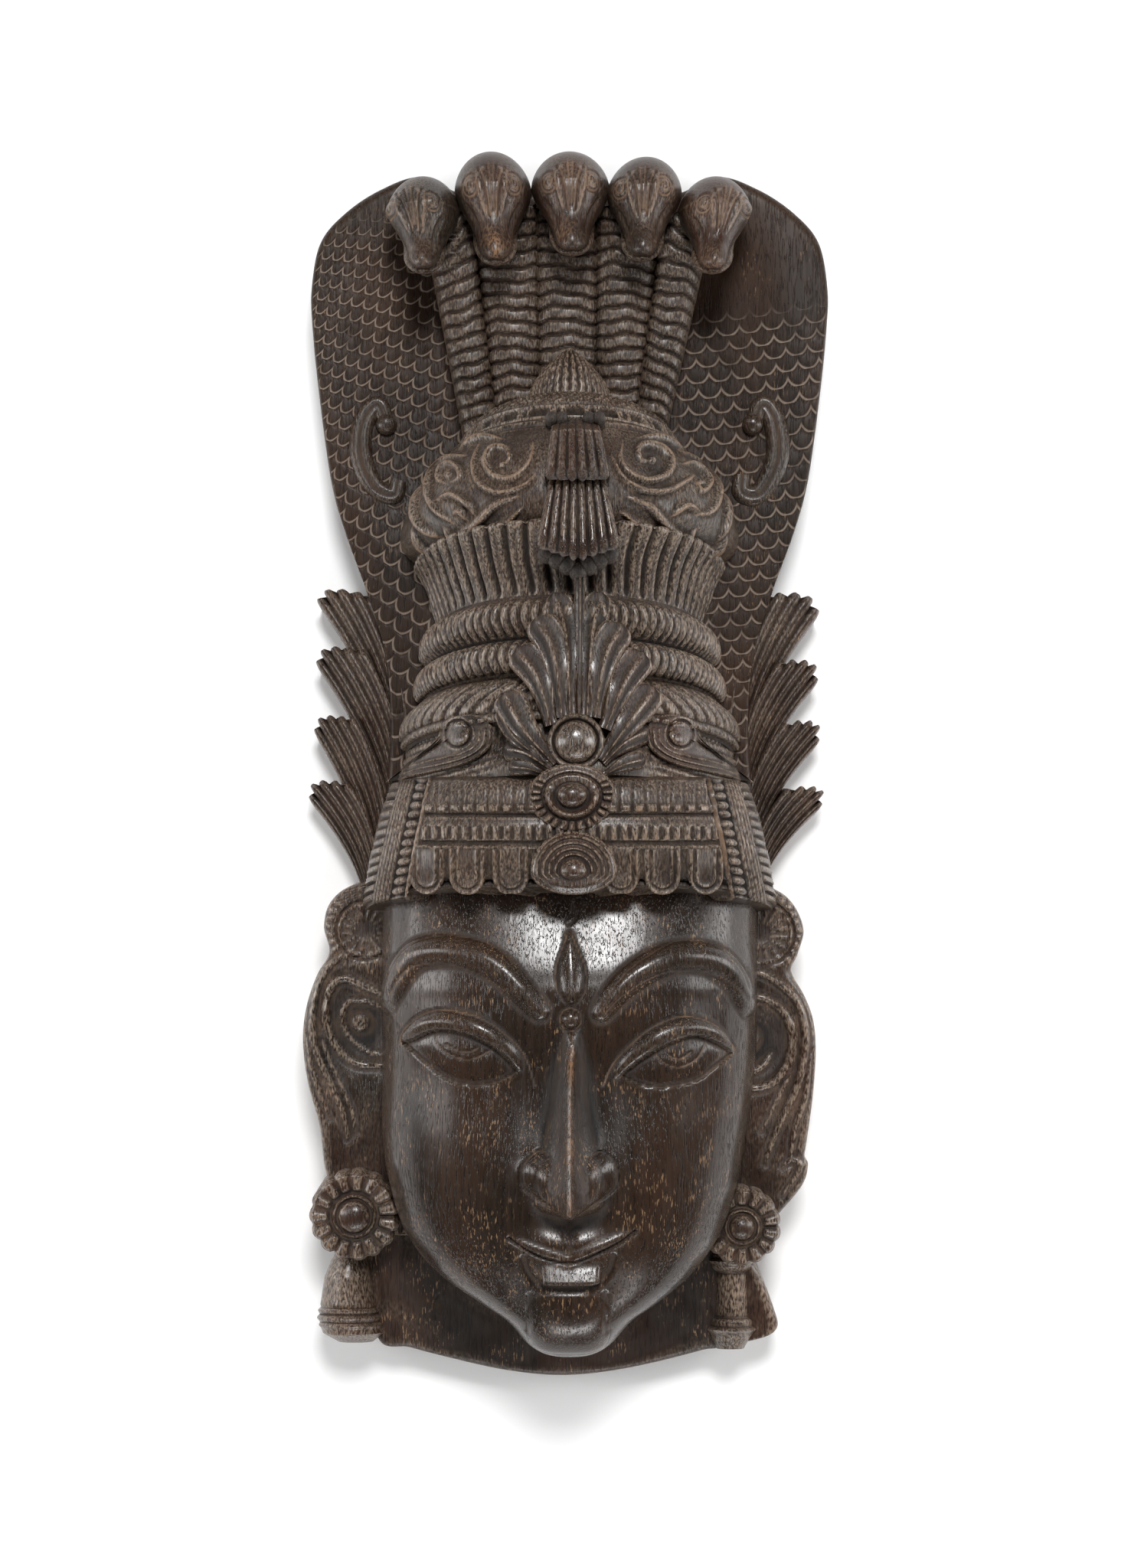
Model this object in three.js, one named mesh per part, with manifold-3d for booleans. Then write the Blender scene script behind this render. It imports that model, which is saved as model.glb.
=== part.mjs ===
// A deity mask carved from one block of dark hardwood, lying on its hollowed back.
// Millimetres, +Z up towards the viewer, +Y towards the five serpent heads, the sawn back at z = 0.
import * as THREE from "three";
import { ParametricGeometry } from "three/addons/geometries/ParametricGeometry.js";
import { mergeVertices } from "three/addons/utils/BufferGeometryUtils.js";
import Module from "manifold-3d";

// The carving is laid out about its own midline, then moved to bring the middle of its outline to the origin.
const MIDLINE = 3;
const OUTLINE_MIDDLE = { x: 1.5, y: -0.75 };

// Every form is sunk below the line at z = 0 where the back is sawn flat.
const BELOW_SAW = 6;

// Slivers finer than this, left where forms meet, are closed up.
const SLIVER = 0.6;

// Cobra hood: a board with a rounded edge, dished towards the necks. A pair is half width and height up the
// block.
const HOOD = {
  outline: [[0, 338], [57, 334], [84, 346], [109, 336], [130, 322], [143, 303], [148, 277], [147.5, 255],
    [144, 219], [137, 168], [129, 138], [117, 105], [106, 68], [103, 20], [108, -40], [112, -74]],
  thick: 36,
  edge: 6,
  dish: { halfWidth: 132, halfLength: 150, depth: 13, middle: 228 },
};

// Five serpents. A head runs from its round back to the tip of its snout, a neck down to the crown's finial.
const SERPENTS = [
  { back: [-80, 333], snout: [-78, 273], width: 40, neck: [[-66, 312], [-47, 196]], neckWidth: [25, 19] },
  { back: [-41, 346], snout: [-37, 277], width: 43, neck: [[-34, 316], [-25, 196]], neckWidth: [37, 25] },
  { back: [3, 346], snout: [5, 283], width: 44, neck: [[1, 318], [2, 205]], neckWidth: [34, 33] },
  { back: [46, 344], snout: [43, 280], width: 42, neck: [[37, 316], [29, 196]], neckWidth: [37, 23] },
  { back: [86, 333], snout: [82, 272], width: 40, neck: [[70, 312], [47, 194]], neckWidth: [25, 18] },
];
// Heights are those of the head's middle; bulb, taper and tip are shares of its length from back to snout.
const HEAD = {
  backHeight: 56, snoutHeight: 86, deep: 27, sides: 8, rings: [0.04, 0.2, 0.42, 0.68, 0.88, 0.98],
  bulb: 0.37, taper: [0.35, 0.85], snoutWidth: 0.43, tip: 0.8, tipLength: 0.21,
  eye: { size: 4.5, along: 0.4, across: 0.33, up: 0.85 },
};
const NECK = { ribPitch: 14, groove: 3, height: 52, flareHeight: 62, flareShare: 0.33, foot: 4 };

// Crown tiers from the headband up to the finial. A row is height at the sides, half width and depth at the
// front; fluted tiers give the count of flutes from side to side and their depth.
const CROWN = [
  { rows: [[-12, 101, 132], [14, 95, 126]] },
  { rows: [[14, 97, 129], [27, 99, 132], [38, 89, 123]], flutes: 16, depth: 3 },
  { rows: [[38, 82, 116], [43, 89, 125], [56, 87, 123], [61, 80, 116], [66, 85, 121], [79, 83, 119],
    [86, 75, 110]] },
  { rows: [[86, 79, 115], [120, 91, 129]], flutes: 20, depth: 3 },
  { rows: [[120, 82, 117], [127, 94, 124], [140, 95, 124], [160, 87, 118], [184, 67, 101], [189, 56, 91],
    [202, 49, 84], [205, 29, 77], [218, 27, 74], [233, 10, 62]] },
];
const TIER_OVERLAP = 2;
const CROWN_SQUARENESS = 2.3;
const CROWN_LEAN = { slope: 0.16, from: 50 };
const PLAIN_STEPS = 13;

// Headband over the forehead: two cushions, a plain strip and a row of petals that hangs lowest at the front.
const BAND = [
  [-76, 118, 138], [-48, 115, 141], [-41, 113, 144], [-34, 110, 139], [-24, 107, 143], [-8, 100, 135],
];
const BAND_SQUARENESS = 2.9;
const BAND_LEAN = { slope: 0.09, from: 60 };

// Fronds at each side of the crown: root, tip and breadth at the tip. Each flute ends in a lobe of its own.
const FRONDS = [
  { root: [93, 18], tip: [131, 104], breadth: 30 },
  { root: [100, -6], tip: [135, 70], breadth: 32 },
  { root: [107, -34], tip: [137, 34], breadth: 32 },
  { root: [112, -66], tip: [138, -8], breadth: 32 },
];
const FROND = { flutes: 3, groove: 2.4, rootBreadth: 16, height: 25, thinning: 5, bow: 13, steps: 3 };
const FROND_LOBE = { ridge: 4, groove: -2, slant: 12 };

// Face: rows of height up the block, half width and depth at the front, with the features carved on it.
const FACE = [
  [-60, 104, 116], [-110, 103.5, 126], [-150, 102, 123], [-206, 97, 126], [-230, 91, 126],
  [-252, 81.5, 124], [-277, 66, 121], [-296, 46, 117], [-309, 30, 108], [-317, 18, 92],
];
const FACE_SQUARENESS = 2.5;
const FACE_STEPS = 16;
const NOSE = { bridge: -132, tip: -234, base: -240, halfWidth: [7, 15], rise: [4, 31], baseRise: 1 };
const NOSE_SUNK = 10;
const NOSTRIL = { x: 14, y: -216, size: 11, rise: 14 };
const BROW = { path: [[14, -128], [34, -103], [62, -91], [84, -101], [97, -119]], width: 15, rise: 5 };
const EYE = { x: 56, y: -154, tilt: 0.32, roll: 0.1, halfLength: 32, halfHeight: 14, rise: 5 };
const LID = { path: [[25, -166], [38, -144], [60, -131], [87, -144]], width: 9, rise: 7 };
const UPPER_LIP = { path: [[-31, -243], [-14, -250], [0, -252], [14, -250], [31, -242]], width: 10, rise: 6 };
const LOWER_LIP = { path: [[-19, -256], [0, -262], [20, -256]], width: 11, rise: 7, blunt: 0.6 };
const CHIN = { y: -291, halfWidth: 24, halfHeight: 16, rise: 7 };
const FOREHEAD_DROP = { y: -106, halfWidth: 10, halfLength: 23, rise: 5, bead: { y: -130, size: 6 } };

// Plate behind the neck, with the ears and earrings carved at its sides.
const NECK_PLATE = {
  outline: [[-118, -236], [-108, -327], [-70, -336], [-34, -344], [0, -347], [36, -343], [78, -333],
    [90, -327], [112, -240]],
  thick: 30,
  edge: 3,
};
const EAR = {
  thick: 44,
  edge: 5,
  left: [[-96, -62], [-124, -66], [-136, -82], [-135, -104], [-143, -122], [-149, -150], [-146, -178],
    [-139, -200], [-137, -228], [-120, -262], [-90, -262]],
  right: [[96, -64], [124, -70], [136, -90], [129, -113], [139, -132], [143, -156], [141, -186], [137, -216],
    [133, -232], [116, -258], [90, -262]],
  middle: { across: 119, y: -150 },
  rim: [[0, 32], [-17, 21], [-23, 0], [-20, -26], [-10, -50], [-3, -68]],
  rimWidth: 7,
  rimRise: 5,
  shell: { size: 15, inward: 5, up: 2, turns: 0.75, narrow: 0.8, closing: 0.4 },
  lobe: { across: 117, y: -93, boss: 6, bossRise: 2, ring: 16, ringWidth: 6, ringRise: 3 },
};
const EARRINGS = [
  { rosette: [-118, -249], size: 22.5, bell: { top: -277.5, bottom: -324, x: -123, halfWidth: [9, 18] } },
  { rosette: [103, -257], size: 20, bell: { top: -281.5, bottom: -328, x: 95, halfWidth: [9, 13] } },
];
const ROSETTE = { height: 60, petals: 12, scallop: 2.2, boss: 9, foot: 4, bevel: [7, 0.8], dish: [3, 0.5] };
const BELL = { height: 30, depth: 1.3, lip: 2, lipHeight: 8, wall: 20, shoulder: 4, neck: 6, sides: 8 };
const SIDE_FLAP = {
  outline: [[106, -280], [114, -290], [122, -318], [98, -326], [98, -282]],
  thick: 34,
  edge: 2,
};

// Palmette over the headband: a polished stone in a ring, with keeled leaves that fan out behind it.
const STONE = { x: 4.5, y: 14, boss: 12.5, bossRise: 12, ring: 17, ringWidth: 3.5, ringRise: 3, height: 136 };
const LEAVES = [
  { root: [3, 30], tip: [3.5, 107], width: 9 },
  { root: [-5, 28], tip: [-9, 97], width: 12 }, { root: [12, 28], tip: [16, 96], width: 12 },
  { root: [-10, 24], tip: [-21, 79], width: 13 }, { root: [17, 24], tip: [29, 80], width: 13 },
  { root: [-14, 18], tip: [-31, 62], width: 14 }, { root: [20, 18], tip: [42, 60], width: 14 },
  { root: [-16, 9], tip: [-38, 40], width: 13 }, { root: [22, 9], tip: [49, 36], width: 13 },
  { root: [-10, 0], tip: [-35, 9], width: 10 }, { root: [17, 0], tip: [43, 7], width: 10 },
];
const LEAF = {
  rise: 8, shoulder: 0.4, sunk: 18, rings: [0, 0.45, 0.85, 1], foot: 0.45, belly: 0.75, tip: 0.4,
};
const PAISLEYS = [
  { knob: [-56, 18.5], tail: [-100, -7], side: -1 },
  { knob: [63, 18.5], tail: [107, -8], side: 1 },
];
const PAISLEY = {
  knob: 7.5, knobRise: 9.5, width: 13, rise: 6, hook: [19, 1], under: [8, -8], sag: 4, blunt: 0.5,
};
const BAND_BOSSES = [
  { x: 4.5, y: -13, boss: 8, bossRise: 6, ring: 22, ringWidth: 9, ringRise: 4, height: 143 },
  { x: 4.5, y: -53, boss: 11, bossRise: 8, ring: 22, ringWidth: 9, ringRise: 4, height: 143 },
];
const MEDALLION_SUNK = 10;

// Scrolls on the cap of the crown and on the hood, and the tasselled pendant at the front.
const VOLUTES = [
  { at: [-33, 163], size: 13, side: -1 }, { at: [44, 163], size: 13, side: 1 },
  { at: [-65, 151], size: 9, side: -1 }, { at: [78, 148], size: 9, side: 1 },
];
const VOLUTE = { turns: 1.35, width: 7, rise: 5, inner: 0.25, steps: 9 };
const HOOD_SCROLLS = [
  {
    path: [[-103, 199], [-108, 211], [-118, 199], [-119, 180], [-110, 161], [-97, 157], [-95, 167]],
    width: 8,
  },
  {
    path: [[108, 199], [115, 212], [124, 199], [125, 176], [113, 156], [101, 160], [103, 170]],
    width: 10,
  },
];
const HOOD_SCROLL = { sunk: 4, rise: 5, knobRise: 7, knob: 0.72 };
const TASSEL = [
  { top: 192, bottom: 157, halfWidth: [13, 19], front: [98, 134] },
  { top: 162, bottom: 122, halfWidth: [14, 22], front: [122, 137] },
];
const TASSEL_FORM = { flutes: 5, flute: 1.6, lobe: 3, round: 9, deep: 30, rings: [0, 0.6, 1] };

// Hollow gouged out of the back, behind the face and crown, leaving a flat rim all round.
const HOLLOW = { x: 3, y: -78, halfWidth: 68, halfLength: 205, depth: 70 };

const { lerp, smoothstep } = THREE.MathUtils;
const wasm = await Module();
wasm.setup();

// A closed geometry as a solid, its faces turned outwards.
function solidOf(geometry) {
  const bare = geometry.index ? geometry.toNonIndexed() : geometry.clone();
  for (const name of Object.keys(bare.attributes)) if (name !== "position") bare.deleteAttribute(name);
  const merged = mergeVertices(bare, 1e-3);
  const vertProperties = merged.attributes.position.array;
  const make = (triVerts) => new wasm.Manifold(new wasm.Mesh({ numProp: 3, vertProperties, triVerts }));
  const corners = new Uint32Array(merged.index.array);
  const made = make(corners);
  return made.volume() > 0 ? made : make(corners.reverse());
}

// A closed skin over a row of rings, each ring a list of points, with both ends closed on their middles.
function loft(rings) {
  const around = rings[0].length;
  const middle = (ring) => ring.reduce((sum, p) => sum.add(p), new THREE.Vector3()).divideScalar(around);
  const ends = [middle(rings[0]), middle(rings.at(-1))];
  const rows = rings.length + 1;
  const place = (turn, along, point) => {
    const row = Math.round(along * rows);
    const corner = Math.round(turn * around) % around;
    point.copy(row === 0 ? ends[0] : row === rows ? ends[1] : rings[row - 1][corner]);
  };
  return solidOf(new ParametricGeometry(place, around, rows));
}

function smoothShape(points, steps) {
  const curve = new THREE.SplineCurve([...points, points[0]].map(([x, y]) => new THREE.Vector2(x, y)));
  return new THREE.Shape(curve.getPoints(steps));
}

// A board of one outline with its upper edge rounded, its lower edge below the saw line.
function board({ outline, thick, edge }, steps) {
  const geometry = new THREE.ExtrudeGeometry(smoothShape(outline, steps), {
    depth: thick - edge + BELOW_SAW, bevelThickness: edge, bevelSize: edge, bevelOffset: -edge,
    bevelSegments: 1,
  });
  return solidOf(geometry.translate(0, 0, -BELOW_SAW));
}

// Straight-line reading of rows of numbers at a height up the block; rows run up or down.
function readRows(rows, y) {
  const rising = rows[0][0] < rows.at(-1)[0] ? rows : [...rows].reverse();
  if (y <= rising[0][0]) return rising[0];
  const above = rising.findIndex((row) => row[0] >= y);
  if (above < 0) return rising.at(-1);
  const [low, high] = [rising[above - 1], rising[above]];
  const share = (y - low[0]) / (high[0] - low[0]);
  return low.map((value, i) => lerp(value, high[i], share));
}

// Depth of a rounded-square section at a distance from the midline.
function archDepth(across, halfWidth, front, squareness) {
  const share = Math.min(1, Math.abs(across / halfWidth));
  return front * Math.pow(1 - Math.pow(share, squareness), 1 / squareness);
}

// Points over a rounded-square arch from one side to the other. The rows lean, so the front stands higher
// than the sides, and flutes cut into the arch by their depth.
function archRing([y, halfWidth, front], squareness, lean, steps, flutes = 0, depth = 0) {
  const points = [];
  for (let i = 0; i <= steps; i++) {
    const angle = (Math.PI * i) / steps;
    const cut = flutes ? (depth * (1 - Math.cos(2 * flutes * angle))) / 2 : 0;
    const spread = (value) => Math.sign(value) * Math.pow(Math.abs(value), 2 / squareness);
    const z = (front - cut) * spread(Math.sin(angle));
    const x = MIDLINE + (halfWidth - cut) * spread(Math.cos(angle));
    points.push(new THREE.Vector3(x, y + lean.slope * (z - lean.from), z));
  }
  points.push(points.at(-1).clone().setZ(-BELOW_SAW), points[0].clone().setZ(-BELOW_SAW));
  return points;
}

const crownRows = CROWN.flatMap((tier) => tier.rows);

// How far the crown's front stands out at a place, settled by trying it with the lean of the last answer.
function crownDepth(x, y) {
  const passes = 4;
  let z = crownRows[0][2];
  for (let pass = 0; pass < passes; pass++) {
    const [, halfWidth, front] = readRows(crownRows, y - CROWN_LEAN.slope * (z - CROWN_LEAN.from));
    z = archDepth(x - MIDLINE, halfWidth, front, CROWN_SQUARENESS);
  }
  return z;
}

// A half-round ridge along a smooth path that lies on the carving, thinner at its ends by the blunt share.
function ridge(path, width, rise, steps, blunt = 0.35) {
  const curve = new THREE.CatmullRomCurve3(path);
  const rings = curve.getPoints(steps).map((point, i) => {
    const heading = curve.getTangent(i / steps);
    const side = new THREE.Vector3(-heading.y, heading.x, 0).normalize();
    const size = blunt + (1 - blunt) * Math.sqrt(Math.sin((Math.PI * i) / steps));
    const over = [1 / 6, 1 / 2, 5 / 6].map((share) => {
      const angle = Math.PI * share;
      const edge = point.clone().addScaledVector(side, (Math.cos(angle) * width * size) / 2);
      return edge.setZ(point.z + rise * size * Math.sin(angle));
    });
    const foot = (edge) => edge.clone().setZ(edge.z - width);
    return [...over, foot(over[2]), foot(over[0])];
  });
  return loft(rings);
}

function dome(x, y, z, across, rise, around = 8) {
  const ball = new THREE.SphereGeometry(1, around, 4).rotateX(Math.PI / 2);
  return solidOf(ball.scale(across, across, rise).translate(x, y, z));
}

// A round boss inside a raised ring, turned as one form and sunk into the carving below it.
function medallion({ x, y, boss, bossRise, ring, ringWidth, ringRise }, ground, around = 12) {
  const shoulder = { across: 0.75, up: 0.7 };
  const profile = [
    [0, -MEDALLION_SUNK], [ring, -MEDALLION_SUNK], [ring, 0], [ring - ringWidth / 2, ringRise],
    [ring - ringWidth, 0], [boss, 0], [boss * shoulder.across, bossRise * shoulder.up], [0, bossRise],
  ];
  const turned = new THREE.LatheGeometry(profile.map(([r, h]) => new THREE.Vector2(r, h)), around);
  return solidOf(turned.rotateX(Math.PI / 2).translate(x, y, ground));
}

function hood() {
  const right = HOOD.outline.map(([half, y]) => [MIDLINE + half, y]);
  const left = HOOD.outline.slice(1).reverse().map(([half, y]) => [MIDLINE - half, y]);
  const slab = board({ ...HOOD, outline: [...right, ...left] }, 40);
  const { halfWidth, halfLength, depth, middle } = HOOD.dish;
  const dish = new THREE.SphereGeometry(1, 20, 8).rotateX(Math.PI / 2).scale(halfWidth, halfLength, depth);
  return slab.subtract(solidOf(dish.translate(MIDLINE, middle, HOOD.thick)));
}

// A serpent's head: round behind, narrowing to a blunt snout that is lifted off the necks.
function head({ back, snout, width }) {
  const rings = HEAD.rings.map((share) => {
    const bulb = Math.sqrt(1 - Math.min(1, share / HEAD.bulb - 1) ** 2);
    const taper = lerp(1, HEAD.snoutWidth, smoothstep(share, ...HEAD.taper));
    const tip = Math.sqrt(1 - (Math.max(0, share - HEAD.tip) / HEAD.tipLength) ** 2);
    const size = share < HEAD.bulb ? bulb : taper * tip;
    const [x, y] = back.map((value, i) => lerp(value, snout[i], share));
    const z = lerp(HEAD.backHeight, HEAD.snoutHeight, share * share);
    return Array.from({ length: HEAD.sides }, (_, k) => {
      const angle = (2 * Math.PI * k) / HEAD.sides;
      const across = (size * width * Math.cos(angle)) / 2;
      return new THREE.Vector3(x + across, y, z + size * HEAD.deep * Math.sin(angle));
    });
  });
  const { size, along, across, up } = HEAD.eye;
  const [eyeX, eyeY] = back.map((value, i) => lerp(value, snout[i], along));
  const eyes = [-1, 1].map((side) => {
    const eye = new THREE.IcosahedronGeometry(size, 0);
    return solidOf(eye.translate(eyeX + side * width * across, eyeY, HEAD.backHeight + HEAD.deep * up));
  });
  return [loft(rings), ...eyes];
}

// A serpent's neck: a half-round column of ribs that ends under its head.
function neck({ neck: [top, bottom], neckWidth }) {
  const length = top[1] - bottom[1];
  const ribs = Math.round(length / NECK.ribPitch);
  const ground = HOOD.thick - HOOD.dish.depth;
  const rings = [];
  for (let level = 0; level <= 2 * ribs; level++) {
    const share = level / (2 * ribs);
    const groove = level % 2 ? 0 : NECK.groove;
    const x = lerp(top[0], bottom[0], share);
    const half = (lerp(neckWidth[0], neckWidth[1], share) + 2 - groove) / 2;
    const height = lerp(NECK.flareHeight, NECK.height, Math.min(1, share / NECK.flareShare)) - groove;
    const ring = [1 / 8, 1 / 2, 7 / 8].map((turn) => {
      const angle = Math.PI * turn;
      const z = ground + (height - ground) * Math.sqrt(Math.sin(angle));
      return new THREE.Vector3(x + half * Math.cos(angle), top[1] - length * share, z);
    });
    rings.push([...ring, ring[2].clone().setZ(NECK.foot), ring[0].clone().setZ(NECK.foot)]);
  }
  return loft(rings);
}

function crown() {
  const tiers = CROWN.map(({ rows, flutes = 0, depth = 0 }) => {
    const [[y, ...first], ...rest] = rows;
    const sunk = [[y - TIER_OVERLAP, ...first], ...rest];
    const steps = 2 * flutes || PLAIN_STEPS;
    return loft(sunk.map((row) => archRing(row, CROWN_SQUARENESS, CROWN_LEAN, steps, flutes, depth)));
  });
  const band = loft(BAND.map((row) => archRing(row, BAND_SQUARENESS, BAND_LEAN, PLAIN_STEPS)));
  return [...tiers, band];
}

// A frond: flutes side by side that bow outwards from root to tip, where each flute ends in its own lobe.
function frond({ root, tip, breadth }, side) {
  const across = FROND.flutes * 2;
  const direction = new THREE.Vector2(tip[0] - root[0], tip[1] - root[1]);
  const reach = direction.length();
  direction.normalize();
  const normal = new THREE.Vector2(direction.y, -direction.x);
  const rings = [];
  for (let i = 0; i <= FROND.steps; i++) {
    const share = i / FROND.steps;
    const wide = lerp(FROND.rootBreadth, breadth, share);
    const bow = FROND.bow * share * (1 - Math.sin((Math.PI * share) / 2));
    const top = [];
    for (let k = 0; k <= across; k++) {
      const spread = k / across - 0.5;
      const onRidge = k % 2 === 1;
      const lobe = (onRidge ? FROND_LOBE.ridge : FROND_LOBE.groove) - FROND_LOBE.slant * spread;
      const length = share * reach + (i === FROND.steps ? lobe : 0);
      const x = root[0] + direction.x * length + normal.x * (spread * wide + bow);
      const y = root[1] + direction.y * length + normal.y * (spread * wide + bow);
      const z = FROND.height - FROND.thinning * share - (onRidge ? 0 : FROND.groove);
      top.push(new THREE.Vector3(MIDLINE + side * x, y, z));
    }
    const foot = (p) => p.clone().setZ(-BELOW_SAW);
    rings.push([...top, foot(top.at(-1)), foot(top[0])]);
  }
  return loft(rings);
}

function faceDepth(across, y) {
  const [, halfWidth, front] = readRows(FACE, y);
  return archDepth(across, halfWidth, front, FACE_SQUARENESS);
}

function onFace(path, side) {
  return path.map(([x, y]) => new THREE.Vector3(MIDLINE + side * x, y, faceDepth(x, y)));
}

function face() {
  const upright = { slope: 0, from: 0 };
  return loft(FACE.map((row) => archRing(row, FACE_SQUARENESS, upright, FACE_STEPS)));
}

// The nose: a sharp ridge that widens and rises from the bridge to the tip, between two round wings.
function nose() {
  const { bridge, tip, base, baseRise } = NOSE;
  const ring = (y, half, rise) => {
    const at = (x, z) => new THREE.Vector3(MIDLINE + x, y, faceDepth(0, y) + z);
    return [at(half, -NOSE_SUNK), at(half, 0), at(0, rise), at(-half, 0), at(-half, -NOSE_SUNK)];
  };
  const ridgeRings = [0, 0.3, 0.65, 1].map((share) =>
    ring(lerp(bridge, tip, share), lerp(...NOSE.halfWidth, share), lerp(...NOSE.rise, share)));
  const underside = ring(base, NOSE.halfWidth[1], baseRise);
  const wings = [-1, 1].map((side) => {
    const ground = faceDepth(NOSTRIL.x, NOSTRIL.y);
    return dome(MIDLINE + side * NOSTRIL.x, NOSTRIL.y, ground, NOSTRIL.size, NOSTRIL.rise);
  });
  return [loft([...ridgeRings, underside]), ...wings];
}

function browAndEye(side) {
  const eyeball = new THREE.SphereGeometry(1, 10, 4).rotateX(Math.PI / 2);
  eyeball.scale(EYE.halfLength, EYE.halfHeight, EYE.rise).rotateZ(side * EYE.tilt).rotateY(side * EYE.roll);
  return [
    ridge(onFace(BROW.path, side), BROW.width, BROW.rise, 8),
    ridge(onFace(LID.path, side), LID.width, LID.rise, 7),
    solidOf(eyeball.translate(MIDLINE + side * EYE.x, EYE.y, faceDepth(EYE.x, EYE.y) - 1)),
  ];
}

function mouthAndChin() {
  const chin = new THREE.SphereGeometry(1, 10, 6).scale(CHIN.halfWidth, CHIN.halfHeight, CHIN.rise * 2);
  return [
    ridge(onFace(UPPER_LIP.path, 1), UPPER_LIP.width, UPPER_LIP.rise, 8),
    ridge(onFace(LOWER_LIP.path, 1), LOWER_LIP.width, LOWER_LIP.rise, 6, LOWER_LIP.blunt),
    solidOf(chin.translate(MIDLINE, CHIN.y, faceDepth(0, CHIN.y) - CHIN.rise)),
  ];
}

// The drop-shaped mark on the forehead with a bead under it.
function foreheadMark() {
  const { y, halfWidth, halfLength, rise, bead } = FOREHEAD_DROP;
  const drop = new THREE.SphereGeometry(1, 10, 8).scale(halfWidth, halfLength, rise);
  return [
    solidOf(drop.translate(MIDLINE, y, faceDepth(0, y))),
    dome(MIDLINE, bead.y, faceDepth(0, bead.y), bead.size, bead.size, 10),
  ];
}

// An ear: a board with a raised rim, a curled shell inside it and a ring on its upper lobe.
function ear(side) {
  const { middle, rimWidth, rimRise, shell, thick } = EAR;
  const plate = board({ ...EAR, outline: side < 0 ? EAR.left : EAR.right }, 20);
  const onEar = ([x, y]) => new THREE.Vector3(MIDLINE + side * (middle.across - x), middle.y + y, thick - 1);
  const curlSteps = 8;
  const curl = Array.from({ length: curlSteps + 1 }, (_, i) => {
    const angle = (i / curlSteps) * shell.turns * 2 * Math.PI;
    const radius = shell.size * (1 - (shell.closing * i) / curlSteps);
    const across = radius * Math.cos(angle) * shell.narrow;
    return onEar([across + shell.inward, radius * Math.sin(angle) + shell.up]);
  });
  const rim = EAR.rim.map(([out, y]) => onEar([out, y]));
  const lobe = { ...EAR.lobe, x: MIDLINE + side * EAR.lobe.across };
  return [plate, ridge(rim, rimWidth, rimRise, 6), ridge(curl, rimWidth * shell.narrow, rimRise, 7),
    medallion(lobe, thick - 1, 10)];
}

// An earring: a scalloped rosette with a round boss, and a bell that hangs below it.
function earring({ rosette: [x, y], size, bell }) {
  const rim = (share, z) => Array.from({ length: ROSETTE.petals * 2 }, (_, k) => {
    const angle = (Math.PI * k) / ROSETTE.petals;
    const radius = share * (size - (k % 2 ? ROSETTE.scallop : 0));
    return new THREE.Vector3(x + radius * Math.cos(angle), y + radius * Math.sin(angle), z);
  });
  const [bevel, crest] = ROSETTE.bevel;
  const [dip, inner] = ROSETTE.dish;
  const disc = loft([
    rim(1, ROSETTE.foot), rim(1, ROSETTE.height - bevel), rim(crest, ROSETTE.height),
    rim(inner, ROSETTE.height - dip),
  ]);
  const [neckHalf, mouthHalf] = bell.halfWidth;
  const wallHalf = mouthHalf - BELL.lip;
  const profile = [
    [0, bell.bottom], [mouthHalf, bell.bottom], [mouthHalf, bell.bottom + BELL.lipHeight],
    [wallHalf, bell.bottom + BELL.lipHeight + BELL.lip], [wallHalf, bell.bottom + BELL.wall],
    [neckHalf, bell.top - BELL.shoulder], [neckHalf, bell.top + BELL.neck], [0, bell.top + BELL.neck],
  ];
  const turned = new THREE.LatheGeometry(profile.map(([r, h]) => new THREE.Vector2(r, h)), BELL.sides);
  const cup = solidOf(turned.scale(1, 1, BELL.depth).translate(bell.x, 0, BELL.height));
  return [disc, dome(x, y, ROSETTE.height - ROSETTE.foot, ROSETTE.boss, ROSETTE.boss), cup];
}

// A leaf of the palmette: a keeled blade from its root behind the stone to its tip.
function leaf({ root, tip, width }) {
  const heading = new THREE.Vector2(tip[0] - root[0], tip[1] - root[1]);
  const side = new THREE.Vector2(-heading.y, heading.x).normalize();
  const rings = LEAF.rings.map((share) => {
    const swell = LEAF.foot + LEAF.belly * Math.sin(Math.PI * (share * 0.9) ** 1.3);
    const half = (width / 2) * swell * (share === 1 ? LEAF.tip : 1);
    const x = root[0] + heading.x * share;
    const y = root[1] + heading.y * share;
    const ground = crownDepth(x, y);
    const shoulder = LEAF.rise * LEAF.shoulder;
    const at = (off, up) =>
      new THREE.Vector3(x + side.x * half * off, y + side.y * half * off, ground + up);
    return [at(1, -LEAF.sunk), at(1, shoulder), at(0, LEAF.rise), at(-1, shoulder), at(-1, -LEAF.sunk)];
  });
  return loft(rings);
}

// A paisley on the lowest tier: a comma-shaped ridge that hooks round a knob and trails off down the side.
function paisley({ knob, tail, side }) {
  const onCrown = (x, y) => new THREE.Vector3(x, y, crownDepth(x, y) + 1);
  const { hook, under, sag } = PAISLEY;
  const path = [
    onCrown(knob[0] - side * hook[0], knob[1] + hook[1]),
    onCrown(knob[0] - side * under[0], knob[1] + under[1]),
    onCrown((knob[0] + tail[0]) / 2, (knob[1] + tail[1]) / 2 - sag), onCrown(...tail),
  ];
  return [
    ridge(path, PAISLEY.width, PAISLEY.rise, 6, PAISLEY.blunt),
    dome(...knob, onCrown(...knob).z, PAISLEY.knob, PAISLEY.knobRise),
  ];
}

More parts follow.
